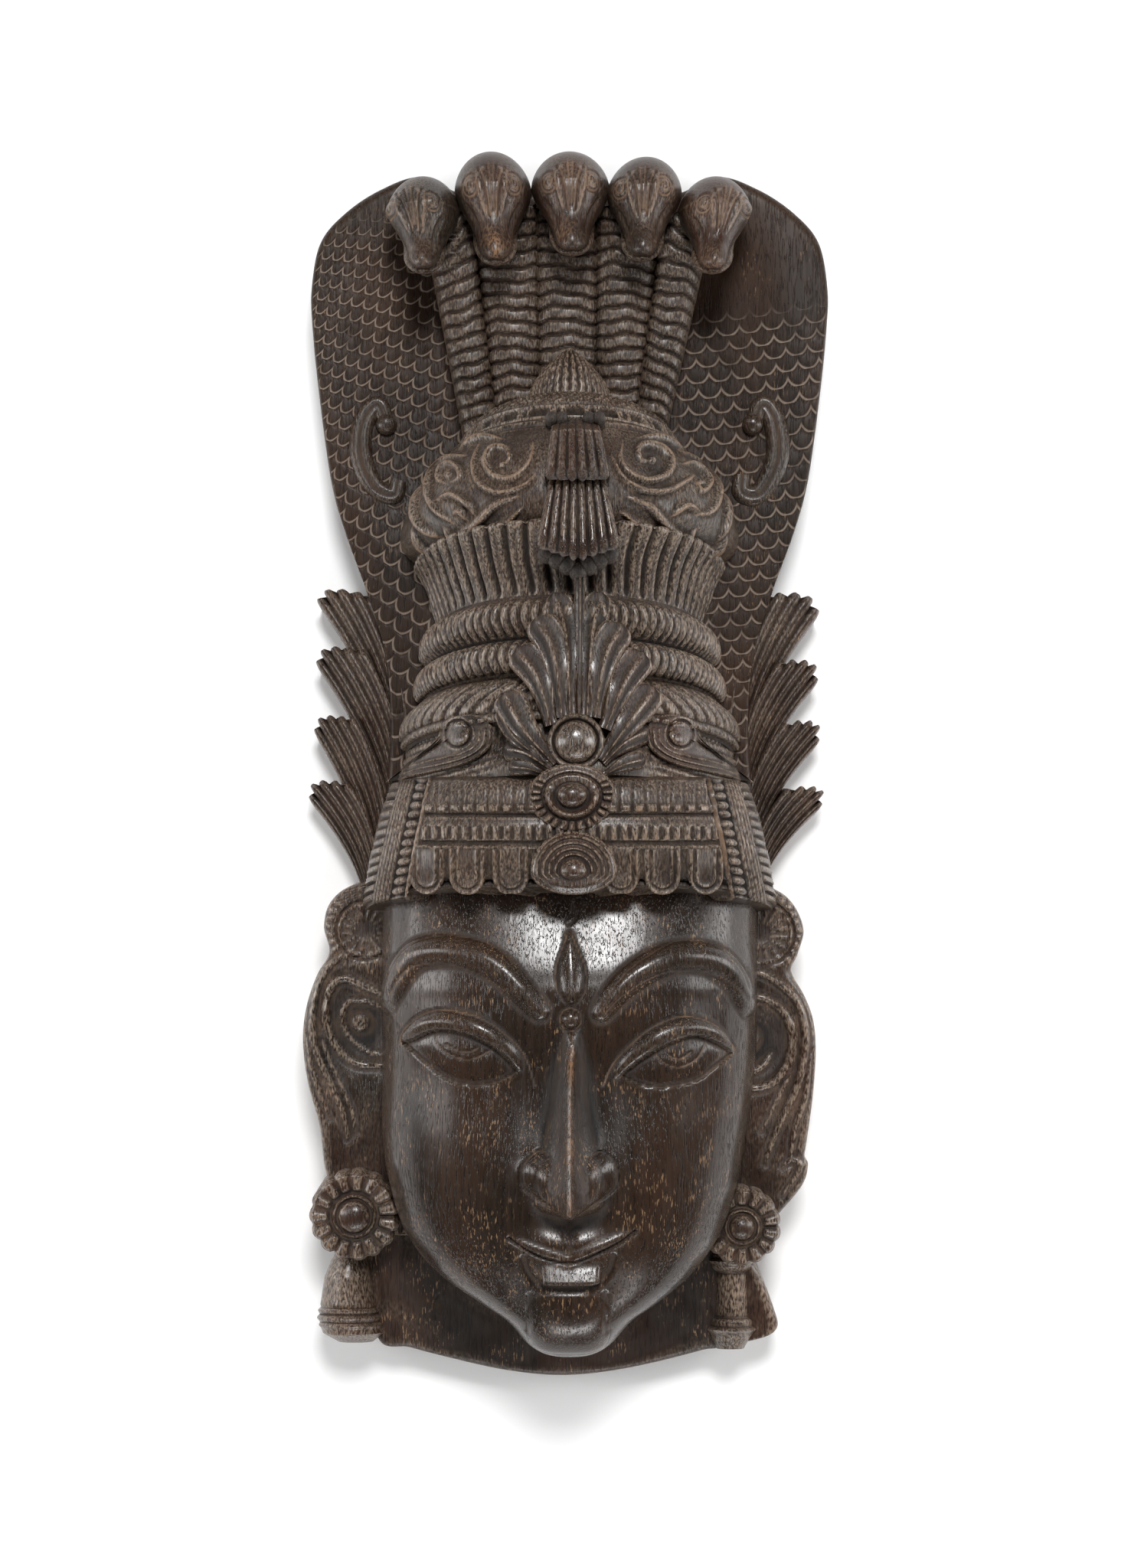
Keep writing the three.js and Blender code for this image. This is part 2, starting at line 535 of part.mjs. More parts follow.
function volute({ at: [cx, cy], size, side }) {
  const points = Array.from({ length: VOLUTE.steps + 1 }, (_, i) => {
    const share = i / VOLUTE.steps;
    const angle = Math.PI / 2 + share * VOLUTE.turns * 2 * Math.PI;
    const radius = size * lerp(1, VOLUTE.inner, share);
    const x = cx + side * radius * Math.cos(angle);
    const y = cy + radius * Math.sin(angle);
    return new THREE.Vector3(x, y, crownDepth(x, y));
  });
  return ridge(points, VOLUTE.width, VOLUTE.rise, VOLUTE.steps + 1);
}

function hoodScroll({ path, width }) {
  const ground = HOOD.thick - HOOD_SCROLL.sunk;
  const line = ridge(path.map(([x, y]) => new THREE.Vector3(x, y, ground)), width, HOOD_SCROLL.rise, 10);
  return [line, dome(...path[0], ground, width * HOOD_SCROLL.knob, HOOD_SCROLL.knobRise)];
}

// A tier of the pendant: a fluted fan that widens and stands further out towards its lower edge.
function tasselTier({ top, bottom, halfWidth, front }) {
  const { flutes, flute, lobe, round, deep } = TASSEL_FORM;
  const rings = TASSEL_FORM.rings.map((share) => {
    const y = lerp(top, bottom, share);
    const half = lerp(...halfWidth, share);
    const depth = lerp(...front, share);
    const over = Array.from({ length: flutes * 2 + 1 }, (_, k) => {
      const spread = 1 - k / flutes;
      const crest = k % 2 ? flute : -flute;
      const notch = share === 1 && !(k % 2) ? lobe : 0;
      return new THREE.Vector3(STONE.x + half * spread, y + notch, depth - round * spread * spread + crest);
    });
    const foot = (p) => p.clone().setZ(p.z - deep);
    return [...over, foot(over.at(-1)), foot(over[0])];
  });
  return loft(rings);
}

function hollow() {
  const { x, y, halfWidth, halfLength, depth } = HOLLOW;
  const gouged = new THREE.SphereGeometry(1, 16, 8).rotateX(Math.PI / 2).scale(halfWidth, halfLength, depth);
  return solidOf(gouged.translate(x, y, 0));
}

// Everything below z = 0, that the saw takes off.
function waste() {
  const room = 400;
  return solidOf(new THREE.BoxGeometry(2 * room, 3 * room, room).translate(0, 0, -room / 2));
}

const forms = [
  hood(), ...SERPENTS.flatMap(head), ...SERPENTS.map(neck), ...crown(),
  ...VOLUTES.map(volute), ...HOOD_SCROLLS.flatMap(hoodScroll), ...TASSEL.map(tasselTier),
  medallion(STONE, STONE.height), ...LEAVES.map(leaf), ...PAISLEYS.flatMap(paisley),
  ...BAND_BOSSES.map((boss) => medallion(boss, boss.height)),
  ...FRONDS.flatMap((shape) => [frond(shape, -1), frond(shape, 1)]),
  face(), ...nose(), ...browAndEye(-1), ...browAndEye(1), ...mouthAndChin(), ...foreheadMark(),
  board(NECK_PLATE, 16), ...ear(-1), ...ear(1), ...EARRINGS.flatMap(earring), board(SIDE_FLAP, 8),
];
const joined = forms.reduce((sum, form) => sum.add(form)).subtract(waste()).subtract(hollow());
// Joining leaves specks and pinholes between neighbouring leaves, so the block is the largest body alone.
const block = joined.simplify(SLIVER).decompose().reduce((a, b) => (a.volume() > b.volume() ? a : b));

// The solid's vertices and triangles as a geometry.
function geometryOf(made) {
  const { vertProperties, triVerts } = made.getMesh();
  const geometry = new THREE.BufferGeometry();
  geometry.setAttribute("position", new THREE.BufferAttribute(vertProperties, 3));
  geometry.setIndex(new THREE.BufferAttribute(triVerts, 1));
  geometry.computeVertexNormals();
  return geometry;
}

const wood = new THREE.MeshStandardMaterial({ color: 0x3a2f29, roughness: 0.45, metalness: 0 });
const mask = new THREE.Mesh(geometryOf(block), wood);
mask.name = "carved_mask";
mask.position.set(-OUTLINE_MIDDLE.x, -OUTLINE_MIDDLE.y, 0);

const part = new THREE.Group();
part.add(mask);

export default part;
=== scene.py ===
# A deity mask carved from one block of dark hardwood, about 0.69 m tall, lying on its sawn back.
from math import pi, radians

import bpy
import numpy as np
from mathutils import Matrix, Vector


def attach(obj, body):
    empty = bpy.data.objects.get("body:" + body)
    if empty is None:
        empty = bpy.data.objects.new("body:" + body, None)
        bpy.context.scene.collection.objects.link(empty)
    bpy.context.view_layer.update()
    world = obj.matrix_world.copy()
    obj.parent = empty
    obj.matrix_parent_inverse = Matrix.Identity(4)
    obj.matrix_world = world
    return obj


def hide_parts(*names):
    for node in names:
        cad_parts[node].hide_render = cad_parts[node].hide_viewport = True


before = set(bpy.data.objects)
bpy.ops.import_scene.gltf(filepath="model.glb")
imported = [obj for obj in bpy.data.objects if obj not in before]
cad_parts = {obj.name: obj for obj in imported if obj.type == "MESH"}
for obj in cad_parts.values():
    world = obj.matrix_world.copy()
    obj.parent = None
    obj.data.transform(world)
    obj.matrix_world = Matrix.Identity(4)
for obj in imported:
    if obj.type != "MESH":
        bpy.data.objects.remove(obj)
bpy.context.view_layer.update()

# The cobra hood: a board behind everything, cut in the block's dark hardwood and dished towards the necks.
# Its rim is rounded by rasp, and its skin is cut with scales, small on the left and larger on the right. The
# wood is oiled and handled: pores run up the block, pale dust lies in the cuts and edges are rubbed to tan.
# The tan on crests is also a painted highlight, and hollows take a painted shade.
MIDLINE = 3.0
LAYOUT_SHIFT = (-1.5, 0.75, 0.0)
HOOD_OUTLINE = [
    (0, 336), (57, 332), (84, 341.5), (108, 334), (129, 320), (143, 303), (148, 277), (147.5, 255),
    (144, 219), (137, 168), (129, 138), (117, 105), (106, 68), (103, 20), (108, -40), (112, -74),
]
HOOD_INNER = {"half_width": 81, "half_length": 213, "y": -78, "lowest": -70}
HOOD_THICK = 36
HOOD_EDGE = 6
HOOD_DISH = {"half_width": 132, "half_length": 150, "depth": 13, "y": 228}
# Steps down the rim: how far in, and how high.
HOOD_WALL = [(0.0, 22), (0.0, 12), (0.0, 3), (0.7, 0.3), (12, 0.3), (24, 0.3)]
HOOD_LAYER = 0.3
SCALE_ROUND = 0.55
SCALE_TILT = (-35, 6)
ROW_SHARE = (0.74, 0.68)
SHARP_ANGLE = 52
WARM_RED = 8
WOOD_TONES = {
    "deep": (30, 22, 16), "light": (44, 32, 22), "streak": (66, 51, 42), "veil": (154, 136, 118),
    "pore": (20, 15, 12), "fleck": (146, 116, 88), "rub_and_highlight": (148, 130, 113), "worn": (150, 106, 70),
    "painted_shade": (12, 9, 8), "dust_and_highlight": (134, 108, 86), "scale_line": (128, 114, 103),
}


def tone(red, green, blue):
    """A screen colour, 0 to 255, as a linear one: the standard display curve taken off."""
    share = np.array([red, green, blue]) / 255
    linear = np.where(share < 0.04045, share / 12.92, ((share + 0.055) / 1.055) ** 2.4)
    return (*linear.tolist(), 1.0)


def hardwood(
    name, gloss=0.36, dust_and_highlight=1.0, rub_and_highlight=1.0, warm=0.5, lines=0.0, fleck=0.35, shine=0.45, pale=0.0, dense=0.0
):
    """Dark wood: warm and cool patches, pores stretched up the block, dusty grooves, tan wear with a painted
    highlight by crest, painted shade in hollows, and pale lines, partly dusty cuts and partly painted
    highlight.
    """
    made = bpy.data.materials.new(name)
    made.use_nodes = True
    tree = made.node_tree
    shader = tree.nodes["Principled BSDF"]

    def add(kind, inputs, **settings):
        """A node of the kind with its settings, each input linked to a socket or given a value."""
        node = tree.nodes.new("ShaderNode" + kind)
        for key, value in settings.items():
            setattr(node, key, value)
        for key, value in inputs.items():
            if isinstance(value, bpy.types.NodeSocket):
                tree.links.new(value, node.inputs[key])
            else:
                node.inputs[key].default_value = value
        return node.outputs

    def maths(operation, *values, clamp=False):
        """One operation on sockets or numbers."""
        return add("Math", dict(enumerate(values)), operation=operation, use_clamp=clamp)[0]

    def times(first, *others):
        """The product of sockets and numbers, taken in turn."""
        for other in others:
            first = maths("MULTIPLY", first, other)
        return first

    def noise(scale, detail, stretch):
        """Noise on the block's own coordinates, pulled long up the block by the stretch."""
        place = add("Mapping", {"Vector": block, "Scale": (1, 1 / stretch, 1)})[0]
        return add("TexNoise", {"Vector": place, "Scale": scale, "Detail": detail})["Fac"]

    def between(value, low, high):
        """How far the value is from low to high, held within 0 and 1."""
        return add("MapRange", {"Value": value, "From Min": low, "From Max": high}, clamp=True)[0]

    def mark(key):
        """A mark that the piece carries on its points."""
        return add("Attribute", {}, attribute_name=key)["Fac"]

    def over(share, below, above):
        """The tone above laid over the colour below by the share."""
        below_socket, above_socket, result_socket = 6, 7, 2
        sockets = {"Factor": share, below_socket: below, above_socket: tone(*above)}
        return add("Mix", sockets, data_type="RGBA")[result_socket]

    block = add("TexCoord", {})["Object"]
    # The shade mark darkens hollows as painted shade; the hair mark draws pale lines, partly dust in the cuts
    # and partly a painted highlight.
    groove, crest, painted_shade, worn = mark("groove"), mark("crest"), mark("painted_shade"), mark("worn")
    hair = between(mark("hair"), 0.55, 0.95)

    patches = noise(22, 3, 2.2)
    streaks = noise(420, 4, 14)
    pores = noise(1350, 2, 14)
    flecks = noise(1200, 2, 6)
    haze = noise(60, 4, 1.4)
    grit = between(noise(1050, 3, 3.2), 0.4, 0.64)

    red, green, blue = WOOD_TONES["light"]
    light = (red + WARM_RED * warm, green, blue)
    colour = over(between(patches, 0.38, 0.62), tone(*WOOD_TONES["deep"]), light)
    colour = over(times(between(streaks, 0.35, 0.7), 0.4), colour, WOOD_TONES["streak"])
    colour = over(times(between(haze, 0.3, 0.7), grit, pale), colour, WOOD_TONES["veil"])
    colour = over(times(between(pores, 0.56, 0.64), 0.75), colour, WOOD_TONES["pore"])
    speck = times(between(flecks, 0.62 - dense, 0.66 - dense), between(haze, 0.52 - dense, 0.62 - dense))
    colour = over(times(speck, fleck), colour, WOOD_TONES["fleck"])
    # Crests: tan wear and a painted highlight on every ridge and edge.
    colour = over(times(between(crest, 0.2, 1.0), grit, 0.75 * rub_and_highlight), colour, WOOD_TONES["rub_and_highlight"])
    colour = over(times(between(haze, 0.4, 0.65), grit, worn), colour, WOOD_TONES["worn"])
    # Hollows: painted shade, nearly black.
    colour = over(times(painted_shade, 0.85), colour, WOOD_TONES["painted_shade"])
    # Pale tan layer: dust in the grooves, and the hair lines, which are partly dust and partly a painted
    # highlight.
    dust_and_highlight_share = times(between(groove, 0.45, 1.0), between(haze, 0.3, 0.62), 0.6 * dust_and_highlight)
    dust_and_highlight_share = maths("MAXIMUM", dust_and_highlight_share, times(hair, between(haze, 0.2, 0.75)))
    colour = over(dust_and_highlight_share, colour, WOOD_TONES["dust_and_highlight"])
    height = maths("SUBTRACT", times(streaks, 0.4), times(between(pores, 0.54, 0.64), 0.8))

    if lines:
        # The scales' cut lines: arcs one radius below each scale's middle, rows shifted by half a scale.
        lattice = add("UVMap", {}, uv_map="scales")[0]
        part = add("SeparateXYZ", {"Vector": lattice})
        row = maths("CEIL", maths("SUBTRACT", part["Y"], 1.0))
        shift = times(maths("MODULO", maths("ABSOLUTE", row), 2.0), 0.5)
        off = maths("SUBTRACT", maths("FRACT", maths("ADD", maths("SUBTRACT", part["X"], shift), 0.5)), 0.5)
        down = times(maths("MAXIMUM", maths("SUBTRACT", part["Y"], row), 0.0), SCALE_ROUND)
        away = maths("SQRT", maths("ADD", times(off, off), times(down, down)))
        rim = maths("ABSOLUTE", maths("SUBTRACT", away, SCALE_ROUND))
        edge = times(maths("SUBTRACT", 1.0, between(rim, 0.02, 0.06)), between(down, 0.05, 0.28))
        edge = times(edge, mark("scaled"), between(haze, 0.22, 0.5))
        colour = over(times(edge, lines), colour, WOOD_TONES["scale_line"])
        height = maths("SUBTRACT", height, edge)

    tree.links.new(colour, shader.inputs["Base Color"])
    rough = maths("ADD", times(haze, 0.3), gloss - 0.15)
    rough = maths("ADD", rough, times(maths("MAXIMUM", groove, painted_shade), 0.6), clamp=True)
    tree.links.new(rough, shader.inputs["Roughness"])
    shader.inputs["Specular IOR Level"].default_value = shine
    bump = add("Bump", {"Height": height, "Strength": 0.5, "Distance": 0.0004})
    tree.links.new(bump["Normal"], shader.inputs["Normal"])
    return made


def place(points):
    """Layout millimetres as metres in the object's own frame."""
    return (np.asarray(points, float) + LAYOUT_SHIFT) / 1000


def smooth(value, low, high):
    """Soft step: 0 below low, 1 above high, with level ends between."""
    share = np.clip((value - low) / (high - low), 0, 1)
    return share * share * (3 - 2 * share)


def peak(value, at, width):
    """A bell curve: 1 where the value is at its place, falling softly on both sides by the width."""
    return np.exp(-(((value - at) / width) ** 2))


def edge_fall(inset, radius):
    """How far a rounded edge has fallen: a quarter circle, by the share of the way out over the edge."""
    return radius * (1 - np.sqrt(1 - inset**2))


def spline(points, steps=10):
    """A smooth line through the points: on each span the cubic whose end slopes follow the neighbours."""
    p = np.asarray(points, float)
    p = np.vstack([2 * p[:1] - p[1:2], p, 2 * p[-1:] - p[-2:-1]])
    a, b, c, d = p[:-3], p[1:-2], p[2:-1], p[3:]
    t = np.linspace(0, 1, steps, endpoint=False)[:, None, None]
    line = 2 * b + (c - a) * t + (2 * a - 5 * b + 4 * c - d) * t**2 + (3 * b - a - 3 * c + d) * t**3
    return np.vstack([line.transpose(1, 0, 2).reshape(-1, p.shape[1]) / 2, p[-2:-1]])


def even(line, count):
    """The same line with points at equal steps of its length."""
    run = np.concatenate([[0], np.cumsum(np.linalg.norm(np.diff(line, axis=0), axis=1))])
    at = np.linspace(0, run[-1], count)
    return np.stack([np.interp(at, run, column) for column in line.T], -1)


def outward(rings):
    """Unit normals of a closed skin: the step round crossed with the step along, turned outwards."""
    normal = np.cross(np.roll(rings, -1, 1) - np.roll(rings, 1, 1), np.gradient(rings, axis=0))
    sign = np.sign((normal * (rings - rings.mean((0, 1)))).sum())
    return sign, sign * normal / np.maximum(np.linalg.norm(normal, axis=2, keepdims=True), 1e-9)


def softened(rings, steps):
    """Each point averaged with those a step before and after it, both ways, for each step in turn."""
    for step in steps:
        rings = (np.roll(rings, step, 1) + 2 * rings + np.roll(rings, -step, 1)) / 4
        before = np.concatenate([rings[:1].repeat(step, 0), rings[:-step]])
        after = np.concatenate([rings[step:], rings[-1:].repeat(step, 0)])
        rings = (before + 2 * rings + after) / 4
    return rings


def carve(name, skins, wood, extra=None, uv=None, fine=0.22, broad=1.6):
    """One piece from closed skins, each rows of rings drawn in to a point at both ends. How far a point
    lies below or above the average of its neighbours marks it as groove or crest, and how far it lies below
    a wider average marks it for painted shade; marks of the same name in extra take their place."""
    points, faces, start = [], [], 0
    marks = {"groove": [], "crest": [], "painted_shade": [], **{key: [] for key in extra or {}}}
    for i, rings in enumerate(skins):
        rows, around = rings.shape[:2]
        sign, normal = outward(rings)
        dip = ((softened(rings, (1, 2)) - rings) * normal).sum(2) / fine
        bowl = ((softened(rings, (2, 4, 7)) - rings) * normal).sum(2) / broad
        found = {"groove": dip, "crest": -dip, "painted_shade": bowl - 0.25}
        found = {key: np.clip(value, 0, 1) for key, value in found.items()}
        found.update({key: value[i] for key, value in (extra or {}).items()})
        for key, value in found.items():
            marks[key].append(np.append(value.ravel(), [0, 0]))
        grid = start + np.arange(rows * around).reshape(rows, around)
        next_one = np.roll(grid, -1, 1)
        ends = np.full(around, start + rows * around)
        quads = np.stack([grid[:-1], next_one[:-1], next_one[1:], grid[1:]], -1).reshape(-1, 4)
        first_cap = np.stack([next_one[0], grid[0], ends], -1)
        last_cap = np.stack([grid[-1], next_one[-1], ends + 1], -1)
        turn = slice(None, None, int(sign))
        faces += quads[:, turn].tolist() + np.vstack([first_cap, last_cap])[:, turn].tolist()
        points += [rings.reshape(-1, 3), rings[0].mean(0)[None], rings[-1].mean(0)[None]]
        start += rows * around + 2
    mesh = bpy.data.meshes.new(name)
    mesh.from_pydata(place(np.vstack(points)), [], faces)
    mesh.shade_smooth()
    mesh.set_sharp_from_angle(angle=radians(SHARP_ANGLE))
    for key, value in marks.items():
        layer = mesh.attributes.new(key, "FLOAT", "POINT")
        layer.data.foreach_set("value", np.concatenate(value).astype(np.float32))
    if uv:
        corner = np.zeros(len(mesh.loops), np.int32)
        mesh.loops.foreach_get("vertex_index", corner)
        flat = np.vstack([np.vstack([sheet.reshape(-1, 2), np.zeros((2, 2))]) for sheet in uv[1]])
        mesh.uv_layers.new(name=uv[0]).uv.foreach_set("vector", flat[corner].astype(np.float32).ravel())
    mesh.materials.append(wood)
    piece = bpy.data.objects.new(name, mesh)
    bpy.context.scene.collection.objects.link(piece)
    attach(piece, "root")
    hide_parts("carved_mask")
    return piece


def scale_lattice(x, y):
    """Places on the lattice of scales: pitches across, and rows counted downwards, tilted on each side."""
    wave = 0.9 * np.sin(x / 23) + 0.8 * np.sin(y / 31 + 1)
    left = x < MIDLINE
    tilt = np.where(left, *np.radians(SCALE_TILT))
    left_pitch = 9.8 + 0.028 * (x + 145) + 0.01 * (330 - y)
    pitch = np.where(left, left_pitch, 12.6 - 0.004 * np.maximum(0, 230 - y))
    u = (x * np.cos(tilt) + y * np.sin(tilt) + wave) / pitch
    v = (x * np.sin(tilt) - y * np.cos(tilt) + wave) / (pitch * np.where(left, *ROW_SHARE))
    return u + 40, v + 200, pitch


def scale_relief(x, y):
    """Cut lines one radius below each scale's middle, and each scale thick at its lip, thin beneath it."""
    u, v, pitch = scale_lattice(x, y)
    row = np.ceil(v - 1)
    off = (u - 0.5 * (row % 2) + 0.5) % 1 - 0.5
    rim = (SCALE_ROUND - np.hypot(off, np.maximum(v - row, 0) * SCALE_ROUND)) * pitch
    return -0.35 * peak(rim, 0, 0.8) - 0.12 * np.where(rim < 0, np.exp(rim / 2), 0)


def hood_rings():
    """Sections from an inner line hidden under the crown to the rim, carried along the outline from the
    lower left over the top to the lower right. With them: where scales are cut, and the scales' lattice."""
    half = [(MIDLINE + a, b) for a, b in HOOD_OUTLINE]
    whole = [(2 * MIDLINE - a, b) for a, b in half[:0:-1]] + half
    rim = even(spline(whole, 30), 700)
    angle = np.linspace(radians(183), radians(-3), len(rim))
    inner_x = MIDLINE + HOOD_INNER["half_width"] * np.cos(angle)
    inner = np.stack([inner_x, HOOD_INNER["y"] + HOOD_INNER["half_length"] * np.sin(angle)], -1)
    inner = even(inner[inner[:, 1] > HOOD_INNER["lowest"]], len(rim))
    rounding = 1 - np.sin(np.linspace(0, pi / 2, 9))
    share = np.concatenate([[0, 0.1, 0.18], np.linspace(0.24, 0.955, 60), 1 - 0.045 * rounding[1:]])
    flat = inner[:, None] + (rim - inner)[:, None] * share[:, None]
    x, y = flat[..., 0], flat[..., 1]
    from_rim = np.linalg.norm(rim[:, None] - flat, axis=2)
    along = (y - HOOD_DISH["y"]) / HOOD_DISH["half_length"]
    dish = 1 - ((x - MIDLINE) / HOOD_DISH["half_width"]) ** 2 - along**2
    z = HOOD_THICK - HOOD_DISH["depth"] * smooth(dish, -0.15, 1)
    z = z - edge_fall(np.clip(1 - from_rim / HOOD_EDGE, 0, 1), HOOD_EDGE)
    bare_corner = smooth(x, 60, 84) * smooth(y, 250 + 0.3 * x, 268 + 0.3 * x)
    bare_left = smooth(y, 300, 322) + smooth(x + 0.45 * (y - 250), -62, -50) * smooth(y, 248, 270)
    bare = bare_corner + bare_left
    scaled = np.clip(smooth(from_rim, 1.5, 5) - bare, 0, 1) * (np.abs(x - MIDLINE) > 24)
    z = z + scaled * scale_relief(x, y)
    u, v, _ = scale_lattice(x, y)
    direction = (inner - rim) / np.linalg.norm(inner - rim, axis=1, keepdims=True)
    under = [
        np.column_stack([rim + direction * inset, np.full(len(rim), height)]) for inset, height in HOOD_WALL
    ]
    under.append(np.column_stack([inner, np.full(len(rim), HOOD_LAYER)]))
    rings = np.concatenate([np.dstack([x, y, z]), np.stack(under, 1)], 1)
    spare = np.zeros((len(rim), len(under)))
    return rings, np.hstack([scaled, spare]), np.dstack([np.hstack([u, spare]), np.hstack([v, spare])])


hood_wood = hardwood("scaled_hood_wood", gloss=0.42, dust_and_highlight=0.3, rub_and_highlight=0.1, warm=0.55, lines=0.9, shine=0.16)
hood, scaled, lattice = hood_rings()
carve("cobra_hood", [hood], hood_wood, extra={"scaled": [scaled]}, uv=("scales", [lattice]))


# Two C-shaped scrolls lie on the hood beside the crown, each a half-round band that ends in a knob.
# They are carved in the hood's own wood and rubbed a little lighter, partly a painted highlight on their
# crests.
# Each scroll: its line and width.
HOOD_SCROLLS = [
    ([(-102, 199), (-107, 210), (-115.5, 199), (-116.5, 180), (-109, 163), (-98, 158), (-95, 167)], 14),
    ([(108, 199), (114, 210), (121, 199), (122, 178), (112, 159), (102, 160), (102, 170)], 15),
]
SCROLL_GROUND = 32
SCROLL_RISE = 6.5


def tube(line, width, rows=80, around=20):
    """A half-round band along a line on a level ground, slimmer towards its far end."""
    path = even(spline(line, 16), rows)
    heading = np.gradient(path, axis=0)
    heading /= np.linalg.norm(heading, axis=1, keepdims=True)
    side = np.stack([-heading[:, 1], heading[:, 0]], -1)
    share = np.linspace(0, 1, rows)
    half = width / 2 * (0.45 + 0.55 * np.sin(pi * (0.12 + 0.76 * share)))
    turn = np.linspace(0, 2 * pi, around, endpoint=False)
    flat = path[:, None] + side[:, None] * (half[:, None] * np.cos(turn))[..., None]
    dent = 0.32 * peak(np.cos(turn), 0, 0.3) * (np.sin(turn) > 0)
    rise = SCROLL_RISE * (np.sin(turn) - dent) * (half / half.max())[:, None]
    return np.dstack([flat, SCROLL_GROUND + rise])


def turned(centre, radii, heights, around, factor=1.0):
    """A form turned about an upright axis: one ring for each radius and height, its radius changed round
    the ring by the factor."""
    turn = np.linspace(0, 2 * pi, around, endpoint=False)
    reach = np.asarray(radii, float)[:, None] * (factor * np.ones(around))
    z = np.broadcast_to(np.asarray(heights, float).reshape(len(radii), -1), reach.shape)
    return np.dstack([centre[0] + reach * np.cos(turn), centre[1] + reach * np.sin(turn), z])


def knob(centre, half, base, rise, deep, around=32):
    """A small dome with a foot sunk into its ground."""
    share = np.linspace(0.04, 1, 12)
    heights = base + rise * np.sqrt(1 - (share * 0.99) ** 2)
    return turned(centre, np.append(half * share, half), np.append(heights, base - deep), around)


scroll_wood = hardwood("hood_scroll_wood", gloss=0.34, dust_and_highlight=0.3, rub_and_highlight=0.25, warm=0.5)
scrolls = [tube(line, width) for line, width in HOOD_SCROLLS]
for line, _ in HOOD_SCROLLS:
    scrolls.append(knob(line[0], half=6.0, base=SCROLL_GROUND + 1, rise=5.5, deep=10))
carve("hood_scrolls", scrolls, scroll_wood)


# Five serpent heads: round behind, narrowing to a blunt snout lifted off the necks, rubbed to tan on top.
# Each has almond eyes cut with double rings, furrows on the brow, and a lower jaw that shows as a thin rim.
SERPENTS = [
    {"back": (-79, 333.5), "snout": (-77.5, 276), "width": 40, "roll": -5.8, "worn": 0.25},
    {"back": (-41, 347.5), "snout": (-37.5, 281), "width": 43, "roll": 0.0, "worn": 0.7},
    {"back": (3, 347.5), "snout": (4.5, 286), "width": 44, "roll": 0.0, "worn": 0.35},
    {"back": (46, 344.5), "snout": (43, 283), "width": 42, "roll": -1.6, "worn": 0.3},
    {"back": (85, 333.5), "snout": (82, 276), "width": 40, "roll": 5.0, "worn": 0.3},
]
HEAD_HEIGHTS = (56, 86)
HEAD_DEEP = 27
HEAD_LENGTH = 66
# Carving of one half of a head, in millimetres off its middle line and along it from the back: the rings'
# half sizes, width and depth, and the cuts' lines, widths and depths.
EYE_RINGS = [((3.8, 5.8), 1.7, 0.8), ((1.8, 2.8), 1.4, 0.6)]
BROW_HAIRS = [[(6, 15), (3.4, 26), (1.6, 42)], [(1.4, 12), (0.7, 38)], [(8.6, 17), (7.4, 26), (4.4, 40)]]
BROW_RIDGE = [(4.5, 15), (7, 23), (5.6, 34), (3, 44)]
BROW_CUTS = [
    ([(7.5, 15), (4.2, 26), (2.2, 42)], 1.9, 0.7), ([(2.6, 14), (1.3, 26), (0.8, 40)], 1.6, 0.6),
    ([(15, 34), (10, 44), (7.6, 56)], 3.5, 0.9),
]


def rounded(share):
    """Height of a half circle: 1 in its middle, 0 where the share of its radius is one or more."""
    return np.sqrt(np.maximum(0, 1 - share**2))


def swell(x, y, centre, half, rise):
    """A broad soft rise that fades out without an edge."""
    return rise * np.exp(-(((x - centre[0]) / half[0]) ** 2) - ((y - centre[1]) / half[1]) ** 2)


def gap(x, y, line, limit):
    """Distance of each point from a drawn line as a share of the limit, and the way along the line."""
    share, along = np.ones(x.shape), np.zeros(x.shape)
    low, high = line.min(0) - limit, line.max(0) + limit
    near = (x > low[0]) & (x < high[0]) & (y > low[1]) & (y < high[1])
    if near.any():
        step = np.diff(line, axis=0)
        span = np.stack([x[near], y[near]], -1)[:, None] - line[:-1]
        t = np.clip((span * step).sum(-1) / np.maximum((step**2).sum(1), 1e-9), 0, 1)
        off = np.linalg.norm(span - t[..., None] * step, axis=-1)
        best = off.argmin(1)[:, None]
        share[near] = np.minimum(np.take_along_axis(off, best, 1)[:, 0] / limit, 1)
        along[near] = (best[:, 0] + np.take_along_axis(t, best, 1)[:, 0]) / len(step)
    return share, along


def cut(x, y, points, width, depth):
    """A gouge cut along a smooth line: a rounded trough, deepest on the line."""
    share, _ = gap(x, y, spline(points), width / 2)
    return -depth * (1 + np.cos(pi * share)) / 2


def ridge_shares(x, y, points, width, taper):
    """Share of a ridge's half width at each point, and the ridge's size there, less at the ends."""
    share, along = gap(x, y, spline(points), width / 2)
    slim = taper + (1 - taper) * np.sqrt(np.sin(pi * np.clip(along, 0.001, 0.999)))
    return share / slim, slim


def bead(x, y, points, width, rise, taper=0.35):
    """A half-round ridge along a smooth line, slimmer at its ends by the taper."""
    share, slim = ridge_shares(x, y, points, width, taper)
    return rise * slim * rounded(share)


def hairline(x, y, points):
    """One on a drawn line, falling to nothing within about two millimetres."""
    reach = 5
    return peak(gap(x, y, spline(points), reach)[0] * reach, 0, 1.05)


def ring_cut(x, y, centre, half, width):
    """One on an almond's outline, falling off on both sides: the almond's own measure is 1 there."""
    across, along = np.abs(x - centre[0]) / half[0], np.abs(y - centre[1]) / half[1]
    return peak((np.hypot(across**1.15, along) - 1) * min(half), 0, width / 2)


